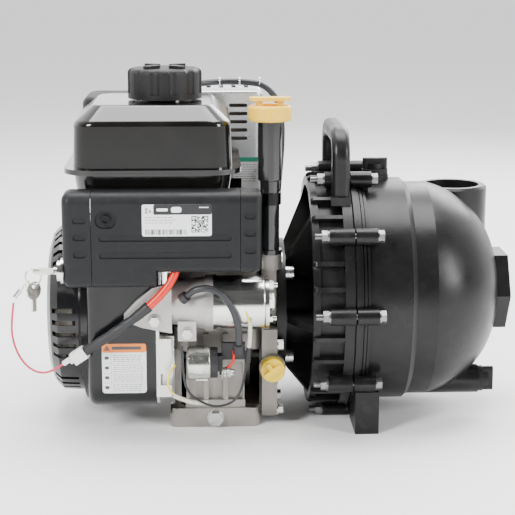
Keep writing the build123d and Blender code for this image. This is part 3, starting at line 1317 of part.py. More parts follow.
def impeller():
    """Open impeller with three swept vanes."""
    wheel = rod_x(138, 143, 0, CRANK_Z, 68) + rod_x(134, 168, 0, CRANK_Z, 18)
    wheel += cone_x(168, 176, 0, CRANK_Z, 18, 9)
    for i in range(3):
        arc = ThreePointArc((14, 0), (44, 16), (64, 50 - 24))
        vane = Pos(142, 0, 0) * Rot(0, 90, 0) * extrude(trace(arc, 6), 26)
        wheel += Pos(0, 0, CRANK_Z) * Rot(120 * i, 0, 0) * vane
    return wheel - rod_x(130, SHAFT_X1, 0, CRANK_Z, SHAFT_R)


FLAP_X = 275.4
FLAP_Z = SUCTION_Z + 37


def check_flapper():
    """Weighted rubber flap over the suction opening, hung from its pin."""
    flap = rod_x(FLAP_X - 4, FLAP_X, 0, SUCTION_Z, 33) + rod_x(FLAP_X - 8, FLAP_X - 3, 0, SUCTION_Z, 20)
    flap += box(FLAP_X - 4, FLAP_X, -12, 12, SUCTION_Z + 20, FLAP_Z)
    flap += rod_y(FLAP_X - 4, -12, 12, FLAP_Z, 4)
    return flap - rod_y(FLAP_X - 4, -13, 13, FLAP_Z, 2 + FIT)


def wing_plug_top():
    """Body of a wing plug standing on Z = 0, its thread below."""
    plug = Pos(0, 0, 2.5) * Cylinder(13.5, 5) + Pos(0, 0, -6) * Cylinder(9.6, 12)
    plug += extrude(Pos(0, 0, 5) * SlotOverall(26, 7), 11.5)
    return plug + extrude(Pos(0, 0, 5) * Circle(8), 6)


def priming_plug():
    """Priming plug with its wing grip."""
    return Pos(PRIME_X, 0, PRIME_Z - 3.6) * wing_plug_top()


def drain_plug():
    """Drain plug with its wing grip and a thinner threaded end."""
    plug = wing_plug_top() - Pos(0, 0, -6.5) * (Cylinder(11, 13) - Cylinder(7.6, 14))
    return Pos(DRAIN_X1 + 0.4, DRAIN_Y, DRAIN_Z) * (Rot(0, 90, 0) * plug)

# ------------------------------------------------------------------ pieces to files


PIECES = (
    crankcase, crankcase_cover, engine_bolts, main_bearings, shaft_seals, crankshaft, camshaft,
    piston, cylinder_head, rocker_cover, valve_train, ignition_parts, terminal_boots, gaskets,
    flywheel, cooling_fan, blower_housing, steel_brackets, recoil_cover, recoil_pulley,
    recoil_grip, fuel_tank_upper, fuel_tank_lower, tank_cap, panel_main, panel_end_left,
    panel_end_right, key_switch, ignition_key, key_ring, lanyard_ferrule, starter_motor,
    starter_gear_case, solenoid, battery_cable, battery_plug, key_lanyard, starter_lead,
    wiring_harness, dipstick_tube, dipstick, oil_fill_cap, muffler, muffler_guard, carburetor,
    choke_lever, throttle_lever, fuel_valve_lever, air_cleaner_base, air_cleaner_cover,
    pump_adapter, pump_body, pump_foot, carry_handle, flange_bolts, volute, impeller,
    check_flapper, priming_plug, drain_plug,
)

os.makedirs("parts", exist_ok=True)
for piece in PIECES:
    save(piece.__name__, piece())
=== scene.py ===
"""Looks of the engine-driven trash pump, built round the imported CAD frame."""
import math
import random

import bmesh
import bpy
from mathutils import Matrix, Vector


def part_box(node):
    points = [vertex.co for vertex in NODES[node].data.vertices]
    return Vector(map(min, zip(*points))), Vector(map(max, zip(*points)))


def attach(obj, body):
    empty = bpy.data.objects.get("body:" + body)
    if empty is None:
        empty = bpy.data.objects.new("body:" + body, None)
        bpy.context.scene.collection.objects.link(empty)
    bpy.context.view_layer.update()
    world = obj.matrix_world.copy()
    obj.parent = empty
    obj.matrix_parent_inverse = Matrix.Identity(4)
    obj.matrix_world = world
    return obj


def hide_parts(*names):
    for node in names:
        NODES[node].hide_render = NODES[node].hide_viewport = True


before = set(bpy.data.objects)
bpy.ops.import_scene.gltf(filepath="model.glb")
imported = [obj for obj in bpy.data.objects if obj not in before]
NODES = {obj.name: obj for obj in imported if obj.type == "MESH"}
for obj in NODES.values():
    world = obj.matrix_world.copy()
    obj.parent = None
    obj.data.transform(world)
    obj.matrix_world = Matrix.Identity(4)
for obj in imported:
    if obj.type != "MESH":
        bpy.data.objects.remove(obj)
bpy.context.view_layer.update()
MM = 0.001


def mm(x, y, z):
    """A point of the row frame given in millimetres."""
    return Vector((x, y, z)) * MM


# ------------------------------------------------------------------ materials

def tone(color, factor):
    """The colour made lighter or darker."""
    return tuple(min(1.0, channel * factor) for channel in color) + (1.0,)


def noise(tree, coordinates, size, detail=4.0, stretch=(1, 1, 1)):
    """Noise with features of about size metres, in the object's own coordinates."""
    mapping = tree.nodes.new("ShaderNodeMapping")
    mapping.inputs["Scale"].default_value = stretch
    tree.links.new(coordinates, mapping.inputs["Vector"])
    texture = tree.nodes.new("ShaderNodeTexNoise")
    texture.inputs["Scale"].default_value = 1.0 / size
    texture.inputs["Detail"].default_value = detail
    tree.links.new(mapping.outputs["Vector"], texture.inputs["Vector"])
    return texture.outputs["Fac"]


def spread(tree, value, low, high):
    """Noise turned into a value between low and high."""
    remap = tree.nodes.new("ShaderNodeMapRange")
    remap.inputs["From Min"].default_value = 0.3
    remap.inputs["From Max"].default_value = 0.7
    remap.inputs["To Min"].default_value = low
    remap.inputs["To Max"].default_value = high
    tree.links.new(value, remap.inputs["Value"])
    return remap.outputs["Result"]


def mixed(tree, base, color, factor):
    """Base colour with another colour laid over it by factor."""
    mix = tree.nodes.new("ShaderNodeMix")
    mix.data_type = "RGBA"
    for socket in mix.inputs:
        if socket.name == "A" and socket.type == "RGBA":
            tree.links.new(base, socket)
        if socket.name == "B" and socket.type == "RGBA":
            socket.default_value = color
        if socket.name == "Factor" and socket.type == "VALUE":
            tree.links.new(factor, socket)
    return next(socket for socket in mix.outputs if socket.type == "RGBA")


def material(name, color, rough, metallic=0.0, mottle=0.10, mottle_size=0.03, rough_spread=0.07,
             grain=0.1, grain_size=0.0012, stretch=(1, 1, 1), scuff=0.0, coat=0.0, specular=0.5,
             dark_above=None):
    """Surface with uneven colour and gloss, a fine grain, and scuffs or a dark upper part."""
    made = bpy.data.materials.new(name)
    made.use_nodes = True
    tree = made.node_tree
    shader = tree.nodes["Principled BSDF"]
    shader.inputs["Metallic"].default_value = metallic
    shader.inputs["Specular IOR Level"].default_value = specular
    shader.inputs["Coat Weight"].default_value = coat
    shader.inputs["Coat Roughness"].default_value = 0.12
    place = tree.nodes.new("ShaderNodeTexCoord").outputs["Object"]
    cloud = noise(tree, place, mottle_size, 5.0, stretch)
    ramp = tree.nodes.new("ShaderNodeValToRGB")
    ramp.color_ramp.elements[0].position = 0.32
    ramp.color_ramp.elements[0].color = tone(color, 1 - mottle)
    ramp.color_ramp.elements[1].position = 0.68
    ramp.color_ramp.elements[1].color = tone(color, 1 + mottle)
    tree.links.new(cloud, ramp.inputs["Fac"])
    base = ramp.outputs["Color"]
    if scuff:
        marks = spread(tree, noise(tree, place, 0.011, 9.0), -1.2 * scuff, scuff)
        base = mixed(tree, base, (0.20, 0.195, 0.19, 1.0), marks)
    if dark_above is not None:
        height = tree.nodes.new("ShaderNodeSeparateXYZ")
        tree.links.new(place, height.inputs["Vector"])
        above = tree.nodes.new("ShaderNodeMath")
        above.operation = "GREATER_THAN"
        above.inputs[1].default_value = dark_above
        tree.links.new(height.outputs["Z"], above.inputs[0])
        base = mixed(tree, base, (0.02, 0.02, 0.021, 1.0), above.outputs[0])
    tree.links.new(base, shader.inputs["Base Color"])
    gloss = spread(tree, noise(tree, place, mottle_size * 0.6, 4.0, stretch),
                   max(0.02, rough - rough_spread), min(1.0, rough + rough_spread))
    tree.links.new(gloss, shader.inputs["Roughness"])
    bump = tree.nodes.new("ShaderNodeBump")
    bump.inputs["Strength"].default_value = grain
    bump.inputs["Distance"].default_value = 0.0006
    tree.links.new(noise(tree, place, grain_size, 3.0, stretch), bump.inputs["Height"])
    tree.links.new(bump.outputs["Normal"], shader.inputs["Normal"])
    return made


BRUSHED = (1, 6, 6)            # noise drawn out along x, like turned or drawn metal
FINISHES = {
    "tank_gloss": material("tank_gloss", (0.006, 0.0055, 0.005), 0.14, grain=0.03,
                           grain_size=0.004, rough_spread=0.05, coat=0.5, mottle=0.3,
                           specular=0.4),
    "cap_black": material("cap_black", (0.009, 0.009, 0.0095), 0.50, grain=0.22, specular=0.3),
    "panel_grey": material("panel_grey", (0.009, 0.0095, 0.0105), 0.46, grain=0.30,
                           grain_size=0.0009, mottle=0.08, scuff=0.015, specular=0.25),
    "shroud_black": material("shroud_black", (0.004, 0.0042, 0.005), 0.20, grain=0.05, coat=0.15,
                             mottle=0.2, scuff=0.01, specular=0.3),
    "recoil_black": material("recoil_black", (0.007, 0.007, 0.008), 0.22, grain=0.05, coat=0.2,
                             mottle=0.2, scuff=0.02, specular=0.35),
    "pump_black": material("pump_black", (0.0055, 0.0055, 0.0058), 0.38, grain=0.20, mottle=0.28,
                           mottle_size=0.05, grain_size=0.0022, rough_spread=0.10, scuff=0.035,
                           specular=0.3),
    "dome_black": material("dome_black", (0.006, 0.006, 0.0063), 0.32, grain=0.14, mottle=0.25,
                           mottle_size=0.07, grain_size=0.0022, rough_spread=0.07, scuff=0.02,
                           specular=0.3),
    "foot_black": material("foot_black", (0.007, 0.007, 0.0075), 0.44, grain=0.2, scuff=0.04,
                           specular=0.3),
    "handle_black": material("handle_black", (0.006, 0.006, 0.0065), 0.36, grain=0.12, scuff=0.04,
                             specular=0.35),
    "cast_pale": material("cast_pale", (0.46, 0.445, 0.43), 0.44, 0.6, grain=0.30,
                          grain_size=0.0016, mottle=0.10),
    # cast aluminium with painted shade: a darker copy of the finish, for the crankcase cover
    "cast_shaded": material("cast_shaded", (0.24, 0.225, 0.21), 0.45, 0.5, grain=0.30,
                          grain_size=0.0018, mottle=0.14),
    "cast_block": material("cast_block", (0.32, 0.30, 0.28), 0.46, 0.5, grain=0.34,
                           grain_size=0.0018, mottle=0.14),
    "zinc_bright": material("zinc_bright", (0.80, 0.81, 0.78), 0.17, 1.0, grain=0.05,
                            mottle=0.07, stretch=BRUSHED, rough_spread=0.05),
    "zinc_worn": material("zinc_worn", (0.70, 0.71, 0.66), 0.24, 1.0, grain=0.12, mottle=0.18,
                          mottle_size=0.012),
    "bolt_zinc": material("bolt_zinc", (0.64, 0.64, 0.62), 0.28, 1.0, grain=0.08,
                          mottle_size=0.008, dark_above=0.19),
    "bracket_zinc": material("bracket_zinc", (0.66, 0.66, 0.63), 0.26, 1.0, grain=0.08,
                             mottle_size=0.02, dark_above=0.150),
    "lever_zinc": material("lever_zinc", (0.62, 0.62, 0.60), 0.30, 1.0, grain=0.08,
                           mottle_size=0.008),
    "bolt_dark": material("bolt_dark", (0.23, 0.23, 0.235), 0.36, 0.9, grain=0.12,
                          mottle_size=0.008, mottle=0.25),
    "guard_sheet": material("guard_sheet", (0.70, 0.71, 0.73), 0.30, 0.75, grain=0.05,
                            mottle=0.06, mottle_size=0.05),
    "muffler_dark": material("muffler_dark", (0.17, 0.16, 0.15), 0.5, 0.8, grain=0.2, mottle=0.3),
    "steel": material("steel", (0.52, 0.52, 0.53), 0.28, 1.0, stretch=BRUSHED),
    "iron": material("iron", (0.16, 0.155, 0.15), 0.55, 0.8, grain=0.4, grain_size=0.002),
    "screen": material("screen", (0.46, 0.43, 0.38), 0.45, 0.7, grain=0.3, mottle=0.2,
                       mottle_size=0.006),
    "key_nickel": material("key_nickel", (0.72, 0.70, 0.64), 0.22, 1.0, mottle_size=0.006),
    "rubber": material("rubber", (0.020, 0.020, 0.021), 0.62, grain=0.2),
    "gasket": material("gasket", (0.045, 0.045, 0.047), 0.75, grain=0.3),
    "tube_gloss": material("tube_gloss", (0.012, 0.012, 0.013), 0.18, grain=0.03, coat=0.4,
                           mottle=0.2),
    "yellow_pale": material("yellow_pale", (0.86, 0.53, 0.03), 0.42, grain=0.08, mottle=0.05),
    "yellow_deep": material("yellow_deep", (0.80, 0.55, 0.01), 0.38, grain=0.08, mottle=0.06),
    "red_jacket": material("red_jacket", (0.72, 0.022, 0.005), 0.36, grain=0.05, mottle=0.06),
    "white_plastic": material("white_plastic", (0.82, 0.82, 0.80), 0.38, grain=0.05, mottle=0.05),
    "shrink_black": material("shrink_black", (0.014, 0.014, 0.016), 0.52, grain=0.45,
                             grain_size=0.004),
    "cable_black": material("cable_black", (0.016, 0.017, 0.020), 0.40, grain=0.10,
                            grain_size=0.003),
    "lanyard_red": material("lanyard_red", (0.62, 0.035, 0.085), 0.45, grain=0.5,
                            grain_size=0.0012, mottle=0.25, mottle_size=0.0018),
    "foam": material("foam", (0.030, 0.030, 0.032), 0.8, grain=0.6, grain_size=0.002),
    "label_white": material("label_white", (0.84, 0.85, 0.86), 0.30, grain=0.02, mottle=0.025),
    "label_orange": material("label_orange", (0.86, 0.22, 0.01), 0.32, grain=0.02, mottle=0.03),
    "label_dark": material("label_dark", (0.012, 0.012, 0.014), 0.32, grain=0.02, mottle=0.08),
    "label_grey": material("label_grey", (0.05, 0.05, 0.06), 0.35, grain=0.02, mottle=0.05),
    "label_green": material("label_green", (0.02, 0.33, 0.20), 0.35, grain=0.02, mottle=0.05),
    "sleeve_clear": material("sleeve_clear", (0.62, 0.60, 0.50), 0.30, grain=0.12,
                             grain_size=0.003, mottle=0.15, mottle_size=0.006),
    "wire_yellow": material("wire_yellow", (0.85, 0.68, 0.03), 0.35, grain=0.05),
}

LOOK = {
    "fuel_tank_upper": "tank_gloss", "fuel_tank_lower": "tank_gloss", "tank_cap": "cap_black",
    "panel_main": "panel_grey", "panel_end_left": "panel_grey", "panel_end_right": "panel_grey",
    "blower_housing": "shroud_black", "recoil_cover": "recoil_black", "recoil_grip": "cap_black",
    "recoil_pulley": "screen", "cooling_fan": "screen", "flywheel": "iron",
    "steel_brackets": "bracket_zinc", "rocker_cover": "shroud_black", "crankcase": "cast_block",
    "crankcase_cover": "cast_shaded", "cylinder_head": "cast_pale", "engine_bolts": "bolt_zinc",
    "main_bearings": "steel", "shaft_seals": "rubber", "crankshaft": "steel", "camshaft": "iron",
    "piston": "cast_pale", "valve_train": "steel", "ignition_parts": "foam",
    "terminal_boots": "shrink_black", "gaskets": "gasket", "key_switch": "zinc_bright",
    "ignition_key": "key_nickel", "key_ring": "key_nickel", "lanyard_ferrule": "zinc_bright",
    "starter_motor": "zinc_bright", "starter_gear_case": "cast_pale", "solenoid": "zinc_worn",
    "battery_plug": "white_plastic", "starter_lead": "cable_black",
    "wiring_harness": "cable_black", "dipstick_tube": "tube_gloss", "dipstick": "yellow_pale",
    "oil_fill_cap": "yellow_deep", "muffler": "muffler_dark", "muffler_guard": "guard_sheet",
    "carburetor": "cast_pale", "choke_lever": "lever_zinc", "throttle_lever": "lever_zinc",
    "fuel_valve_lever": "cap_black", "air_cleaner_base": "foam", "air_cleaner_cover": "cap_black",
    "pump_adapter": "pump_black", "pump_body": "dome_black", "pump_foot": "foot_black",
    "carry_handle": "handle_black", "flange_bolts": "bolt_dark", "volute": "pump_black",
    "impeller": "iron", "check_flapper": "rubber", "priming_plug": "cap_black",
    "drain_plug": "cap_black", "battery_cable": "red_jacket", "key_lanyard": "lanyard_red",
}
for node, look in LOOK.items():
    for held in NODES[node].material_slots:
        held.material = FINISHES[look]


# ------------------------------------------------------------------ cords

BATTERY_ROUTE = ((-35, -130, 202), (-35.5, -131, 183), (-42, -135, 164.5), (-57, -139, 147),
                 (-80, -140, 128), (-105, -137, 110), (-128, -133, 94))
LANYARD_ROUTE = ((-150, -130.5, 81), (-163, -127, 71), (-178, -121, 69), (-191, -116, 77),
                 (-199, -115, 92), (-202, -117, 109), (-200.5, -121, 126), (-197.8, -126, 142))
CABLE_R = 4.2
LANYARD_R = 1.1


def link(thing, look):
    """Give a new piece its material, and fix it to the frame body."""
    bpy.context.scene.collection.objects.link(thing)
    thing.data.materials.append(FINISHES[look])
    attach(thing, "frame")
    return thing


def nurbs(name, points, radius):
    """One smooth open curve through the route's control points."""
    curve = bpy.data.curves.new(name, "CURVE")
    curve.dimensions = "3D"
    curve.resolution_u = 14
    curve.bevel_resolution = 6
    curve.bevel_depth = radius * MM
    curve.use_fill_caps = True
    spline = curve.splines.new("NURBS")
    spline.points.add(len(points) - 1)
    for point, place in zip(spline.points, points):
        point.co = (*mm(*place), 1.0)
    spline.order_u = 3
    spline.use_endpoint_u = True
    return bpy.data.objects.new(name, curve)


def spline_points(thing):
    """Points along a curve's own line."""
    bare = thing.copy()
    bare.data = thing.data.copy()
    bare.data.bevel_depth = 0.0
    bare.data.use_fill_caps = False
    bpy.context.scene.collection.objects.link(bare)
    bpy.context.view_layer.update()
    mesh = bpy.data.meshes.new_from_object(bare.evaluated_get(
        bpy.context.evaluated_depsgraph_get()))
    points = [bare.matrix_world @ v.co for v in mesh.vertices]
    bpy.data.objects.remove(bare)
    return points


def tube(name, points, radii, look, sides=24):
    """Closed mesh tube along points, with one radius for each point."""
    shape = bmesh.new()
    rings = []
    across = None
    for i, point in enumerate(points):
        ahead = (points[min(i + 1, len(points) - 1)] - points[max(i - 1, 0)]).normalized()
        if across is None:
            across = ahead.orthogonal().normalized()
        across = (across - ahead * across.dot(ahead)).normalized()
        up = ahead.cross(across)
        ring = []
        for k in range(sides):
            turn = 2 * math.pi * k / sides
            ring.append(shape.verts.new(point + radii[i] * (across * math.cos(turn)
                                                            + up * math.sin(turn))))
        rings.append(ring)
    for one, two in zip(rings, rings[1:]):
        for k in range(sides):
            shape.faces.new((one[k], one[(k + 1) % sides], two[(k + 1) % sides], two[k]))
    shape.faces.new(list(reversed(rings[0])))
    shape.faces.new(rings[-1])
    mesh = bpy.data.meshes.new(name)
    shape.to_mesh(mesh)
    shape.free()
    for face in mesh.polygons:
        face.use_smooth = len(face.vertices) == 4
    return link(bpy.data.objects.new(name, mesh), look)


cable = link(nurbs("battery_cable_line", BATTERY_ROUTE, CABLE_R), "red_jacket")
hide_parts("battery_cable")
lanyard = link(nurbs("key_lanyard_line", LANYARD_ROUTE, LANYARD_R), "lanyard_red")
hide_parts("key_lanyard")

SHRINK_FROM = 0.56             # share of the cable that shows its red jacket
SHRINK_R = 4.75
SHRINK_RIPPLE = 0.25
SHRINK_LIP = 0.5               # how much thicker the sleeve's first few rings are
line = spline_points(cable)
cut = line[int(len(line) * SHRINK_FROM):]
swell = [(SHRINK_R + SHRINK_RIPPLE * math.sin(0.9 * i) + SHRINK_LIP * (i < 8)) * MM
         for i in range(len(cut))]
sleeve = tube("battery_cable_sleeve", cut, swell, "shrink_black")


# ------------------------------------------------------------------ labels

LABEL = 0.2                    # thickness of a label, in millimetres
HEADING = 0.06                 # thickness of a coloured heading printed on it
INK = 0.05                     # thickness of the other print
PROUD = 0.05                   # gap between the back of a label and the part under it
SHARP = 0.02                   # corner radius of a mark that looks square
CORNER_STEPS = 5


def plate(x0, x1, z0, z1, y, corner=1.5, thick=LABEL):
    """Mesh of a thin plate with round corners, its back at y and its face to the front."""
    shape = bmesh.new()
    outline = []
    for cx, cz, start in ((x1 - corner, z1 - corner, 0), (x0 + corner, z1 - corner, 90),
                          (x0 + corner, z0 + corner, 180), (x1 - corner, z0 + corner, 270)):
        for k in range(CORNER_STEPS + 1):
            turn = math.radians(start + 90 * k / CORNER_STEPS)
            outline.append((cx + corner * math.cos(turn), cz + corner * math.sin(turn)))
    front = [shape.verts.new(mm(x, y - thick, z)) for x, z in outline]
    back = [shape.verts.new(mm(x, y, z)) for x, z in outline]
    count = len(outline)
    shape.faces.new(front)
    shape.faces.new(list(reversed(back)))
    for k in range(count):
        shape.faces.new((front[k], back[k], back[(k + 1) % count], front[(k + 1) % count]))
    bmesh.ops.recalc_face_normals(shape, faces=shape.faces)
    mesh = bpy.data.meshes.new("plate")
    shape.to_mesh(mesh)
    shape.free()
    return mesh


def join_plates(name, plates, look):
    """Several plates of one material as one piece."""
    shape = bmesh.new()
    for mesh in plates:
        shape.from_mesh(mesh)
        bpy.data.meshes.remove(mesh)
    mesh = bpy.data.meshes.new(name)
    shape.to_mesh(mesh)
    shape.free()
    return link(bpy.data.objects.new(name, mesh), look)


def bars(x0, x1, z0, z1, y, pitch, seed):
    """Upright bars of uneven width."""
    draw = random.Random(seed)
    made = []
    x = x0
    while x < x1 - pitch:
        width = pitch * draw.uniform(0.25, 0.75)
        made.append(plate(x, x + width, z0, z1, y, 0.01, INK))
        x += pitch * draw.uniform(0.8, 1.3)
    return made


def lines(x0, x1, z_top, count, pitch, y, seed):
    """Rows of short dashes that stand for print."""
    draw = random.Random(seed)
    height = 0.55
    space = 0.9
    made = []
    for row in range(count):
        z = z_top - row * pitch
        x = x0
        while x < x1 - 2:
            width = min(draw.uniform(1.6, 4.6), x1 - x)
            made.append(plate(x, x + width, z - height, z, y, SHARP, INK))
            x += width + space
    return made


def cells(x0, z0, count, size, y, filled):
    """Square of cells, with a mark in each cell that filled(i, k) is true for."""
    made = []
    for i in range(count):
        for k in range(count):
            if filled(i, k):
                x = x0 + size * i
                z = z0 + size * k
                made.append(plate(x, x + size, z, z + size, y, 0.01, INK))
    return made


def warning_label():
    """Warning label on the blower housing: a coloured heading over four rows of notes."""
    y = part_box("blower_housing")[0].y / MM - PROUD
    face = y - LABEL
    x0, x1, z0, z1 = -113, -69, 47, 98
    top = z1 - 9
    row_pitch = 10.2
    join_plates("warning_label", [plate(x0, x1, z0, z1, y, 3.0)], "label_white")
    join_plates("warning_label_heading", [plate(x0, x1, top, z1, face, 2.0, HEADING)],
                "label_orange")
    dark = []
    for k in range(5):
        half = 0.55 + 0.62 * k
        dark.append(plate(x0 + 5 - half, x0 + 5 + half, z1 - 2.4 - 1.1 * k, z1 - 1.5 - 1.1 * k,
                          face - HEADING, SHARP, INK))
    dark.append(plate(x0 + 10, x1 - 5, top + 3.0, top + 6.2, face - HEADING, 0.6, INK))
    for row in range(4):
        z = top - 2.5 - row_pitch * row
        dark.append(plate(x0 + 2.6, x0 + 7.0, z - 4.6, z - 1.4, face, 1.2, INK))
        dark += lines(x0 + 11, x1 - 3, z, 4, 2.1, face, row)
        if row:
            dark.append(plate(x0 + 1, x1 - 1, z + 1.5, z + 1.7, face, SHARP, INK))
    dark.append(plate(x0 + 9.2, x0 + 9.4, z0 + 1, top, face, SHARP, INK))
    join_plates("warning_label_print", dark, "label_grey")


def serial_label():
    """Serial label on the panel: a dark heading, bars and two squares of cells."""
    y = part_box("panel_main")[0].y / MM - PROUD
    face = y - LABEL
    x0, x1, z0, z1 = -70, -3, 211, 242
    draw = random.Random(3)
    frames = (0, 4, 14, 18)
    dots = (2, 16)

    def big_cell(i, k):
        """By chance, but three corners hold a frame round a dot."""
        by_chance = draw.random() < 0.5
        if (i < 5 or i > 13) and (k < 5 or k > 13) and not (i > 13 and k < 5):
            return i in frames or k in frames or (i in dots and k in dots)
        return by_chance

    def small_cell(i, k):
        """By chance alone."""
        return draw.random() < 0.45

    join_plates("serial_label", [plate(x0, x1, z0, z1, y, 2.0)], "label_white")
    dark = [plate(x0 + 11, x1, z1 - 10, z1, face, 1.6, HEADING)]
    dark += cells(x1 - 19.5, z0 + 3.5, 19, 0.85, face, big_cell)
    dark += cells(x0 + 3, z1 - 8.4, 7, 0.8, face, small_cell)
    dark += bars(x0 + 3, x0 + 44, z0 + 1.6, z0 + 6.6, face, 1.1, 5)
    dark += lines(x0 + 3, x0 + 32, z1 - 12.4, 3, 2.6, face, 9)
    join_plates("serial_label_print", dark, "label_dark")
    pale = [plate(x0 + 14, x0 + 25, z1 - 6.6, z1 - 3.8, face - HEADING, 1.2, INK),
            plate(x0 + 28, x0 + 38, z1 - 8, z1 - 2.4, face - HEADING, 2.2, INK),
            plate(x1 - 12, x1 - 3, z1 - 3.4, z1 - 2.6, face - HEADING, 0.2, INK)]
    join_plates("serial_label_signs", pale, "label_white")


def guard_label():
    """Small label on the front of the muffler guard's skirt."""
    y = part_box("muffler_guard")[0].y / MM - PROUD
    face = y - LABEL
    x0, x1, z0, z1 = 22, 50, 224, 258
    join_plates("guard_label", [plate(x0, x1, z0, z1, y, 1.5)], "label_white")
    join_plates("guard_label_band", [plate(x0, x1, z1 - 5, z1, face, 1.0, INK)], "label_green")
    join_plates("guard_label_print", lines(x0 + 2, x1 - 2, z1 - 8, 8, 2.6, face, 21),
                "label_grey")


warning_label()
serial_label()
guard_label()


# ------------------------------------------------------------------ thin wires and clips

def wire(name, points, radius, look):
    """Thin wire, sleeve or joint along a route in millimetres."""
    return link(nurbs(name, points, radius), look)


def solenoid_wires():
    """Sensor and ground wires beside and below the solenoid, with their sleeves."""
    low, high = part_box("solenoid")
    x0, y0, z0 = (value / MM for value in low)
    x1 = high.x / MM
    z1 = high.z / MM
    middle = (z0 + z1) / 2
    wire("ground_wire", ((x0 - 5, y0 - 3, z1 + 6), (x0 - 5, y0 - 6, middle), (x0, y0 - 7, z0 - 6),
                         (x0 + 18, y0 - 8, z0 - 17), (x1 + 8, y0 - 8, z0 - 20),
                         (x1 + 26, y0 - 6, z0 - 14), (x1 + 34, y0 - 2, z0 + 8),
                         (x1 + 36, y0 + 6, z0 + 30)), 1.2, "cable_black")
    wire("sensor_wire", ((x1 + 34, y0 + 2, z1 + 42), (x1 + 37, y0, z1 + 34),
                         (x1 + 39, y0, z1 + 26)), 1.0, "wire_yellow")
    wire("sensor_sleeve", ((x1 + 39, y0, z1 + 28), (x1 + 39.5, y0 - 0.5, z1 + 16),
                           (x1 + 38, y0, z1 + 2)), 2.1, "sleeve_clear")
    wire("sensor_joint", ((x1 + 38, y0, z1 + 3), (x1 + 37.5, y0 + 1, z1 - 5),
                          (x1 + 37, y0 + 3, z1 - 13)), 2.7, "shrink_black")
    wire("low_wire", ((x0 - 12, y0 + 2, middle + 3), (x0 - 18, y0 - 3, middle - 4),
                      (x0 - 20, y0 - 5, middle - 14), (x0 - 16, y0 - 6, middle - 24),
                      (x0 - 8, y0 - 5, middle - 29)), 1.1, "wire_yellow")
    wire("low_sleeve", ((x0 - 14, y0 - 6, middle - 26), (x0 - 4, y0 - 5, middle - 31),
                        (x0 + 10, y0 - 4, middle - 35), (x0 + 20, y0 - 2, middle - 35)), 2.2,
         "sleeve_clear")


# Start and end beyond the moulded end, radius and sides: stud, washer, nut, washer, nut.
TERMINAL_PARTS = ((-2, 13, 1.9, 16), (0, 1.2, 5.2, 20), (1.3, 5, 4.2, 6), (5.1, 6.0, 4.4, 20),
                  (6.1, 9.4, 4.0, 6))
TERMINALS = ((-8, -8), (-2, -13))      # each stud's offset in y and z from the middle
MOULDED_END = 11                       # how far the moulded end stands out of the solenoid


def solenoid_terminals():
    """Two studs with their washers and nuts on the solenoid's moulded end, and a red wire."""
    low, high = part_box("solenoid")
    y = (low.y + high.y) / 2 / MM
    z = (low.z + high.z) / 2 / MM
    end = high.x / MM + MOULDED_END
    for i, (dy, dz) in enumerate(TERMINALS):
        for k, (start, stop, radius, sides) in enumerate(TERMINAL_PARTS):
            tube(f"terminal_{i}_{k}", [mm(end + start, y + dy, z + dz),
                                       mm(end + stop, y + dy, z + dz)],
                 [radius * MM] * 2, "bolt_zinc", sides)
    wire("terminal_wire", ((end + 12, y - 7, z + 13), (end + 13, y - 9, z + 5),
                           (end + 9, y - 9, z - 3), (end + 4, y - 8, z - 5)), 1.3, "red_jacket")


def ring_at(name, centre, along, radius, wire_radius, look):
    """Small ring round a cable."""
    steps = 32
    turn = Vector((0, 0, 1)).rotation_difference(along).to_matrix()
    points = []
    for k in range(steps + 1):
        angle = 2 * math.pi * k / steps
        points.append(centre + turn @ Vector((math.cos(angle), math.sin(angle), 0)) * radius * MM)
    return tube(name, points, [wire_radius * MM] * len(points), look, 10)


def harness_clips():
    """Bright clips that hold the loom on the muffler guard."""
    loom_radius = 3.4
    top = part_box("wiring_harness")[1].z / MM - loom_radius
    for i, x in enumerate((8, 30, 52)):
        ring_at(f"harness_clip_{i}", mm(x, 82 + 0.02 * x, top), Vector((1, 0, 0)), 4.3, 0.9,
                "zinc_bright")


solenoid_wires()
solenoid_terminals()
harness_clips()


# ------------------------------------------------------------------ stage, light and camera

CAMERA_PLACE = (-0.011, -1.490, 0.479)
CAMERA_TARGET = (0.046, -0.016, 0.162)
CAMERA_ANGLE = 20.506
MIDDLE = (0.03, 0.0, 0.16)             # the point that the lights are aimed at
LIGHTS = (("key_light", (-1.3, -1.5, 1.3), (0.5, 0.9), 58),
          ("fill_light", (1.7, -1.2, 0.9), (0.5, 1.0), 34),
          ("top_light", (0.1, 0.2, 1.9), (1.6, 1.0), 60),
          ("rim_light", (0.9, 1.5, 1.2), (1.2, 0.9), 34))
ROOM_DIM = 0.10
ROOM_BRIGHT = 2.6


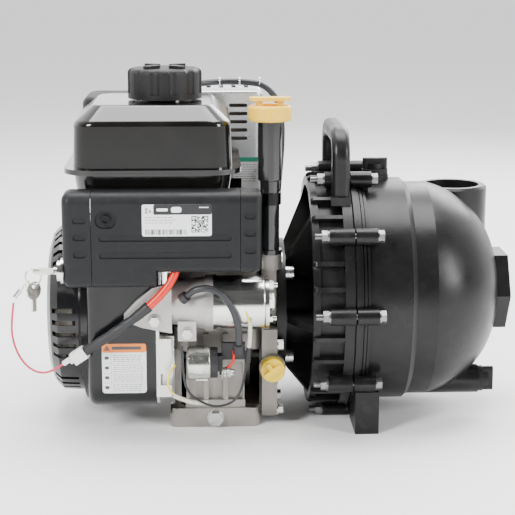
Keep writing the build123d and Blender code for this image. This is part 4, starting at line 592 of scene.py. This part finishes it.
def floor():
    """Plain pale floor with a far edge out of sight."""
    bpy.ops.mesh.primitive_plane_add(size=60, location=(0, 0, 0))
    ground = bpy.context.object
    ground.name = "floor"
    pale = bpy.data.materials.new("floor_pale")
    pale.use_nodes = True
    shader = pale.node_tree.nodes["Principled BSDF"]
    shader.inputs["Base Color"].default_value = (0.95, 0.95, 0.95, 1)
    shader.inputs["Roughness"].default_value = 0.9
    ground.data.materials.append(pale)


def aim(name, data, place, target):
    """Camera or light at a place, pointed at a target."""
    holder = bpy.data.objects.new(name, data)
    bpy.context.scene.collection.objects.link(holder)
    holder.location = place
    holder.rotation_euler = (Vector(target) - Vector(place)).to_track_quat("-Z", "Y").to_euler()
    return holder


def camera():
    """Camera at the photograph's viewing angle."""
    lens = bpy.data.cameras.new("camera")
    lens.angle = math.radians(CAMERA_ANGLE)
    bpy.context.scene.camera = aim("camera", lens, CAMERA_PLACE, CAMERA_TARGET)


def area_light(name, place, size, power):
    """Soft rectangular light aimed at the middle of the object."""
    lamp = bpy.data.lights.new(name, "AREA")
    lamp.shape = "RECTANGLE"
    lamp.size, lamp.size_y = size
    lamp.energy = power
    aim(name, lamp, place, MIDDLE)


def room():
    """White room, bright behind the object and dim on the camera's side of it."""
    world = bpy.data.worlds.new("room")
    world.use_nodes = True
    tree = world.node_tree
    place = tree.nodes.new("ShaderNodeTexCoord")
    parts = tree.nodes.new("ShaderNodeSeparateXYZ")
    tree.links.new(place.outputs["Generated"], parts.inputs["Vector"])
    remap = tree.nodes.new("ShaderNodeMapRange")
    remap.inputs["From Min"].default_value = -0.4
    remap.inputs["From Max"].default_value = 0.6
    remap.inputs["To Min"].default_value = ROOM_DIM
    remap.inputs["To Max"].default_value = ROOM_BRIGHT
    tree.links.new(parts.outputs["Y"], remap.inputs["Value"])
    sky = tree.nodes["Background"]
    sky.inputs["Color"].default_value = (1.0, 1.0, 1.0, 1.0)
    tree.links.new(remap.outputs["Result"], sky.inputs["Strength"])
    bpy.context.scene.world = world


floor()
camera()
for name, place, size, power in LIGHTS:
    area_light(name, place, size, power)
room()
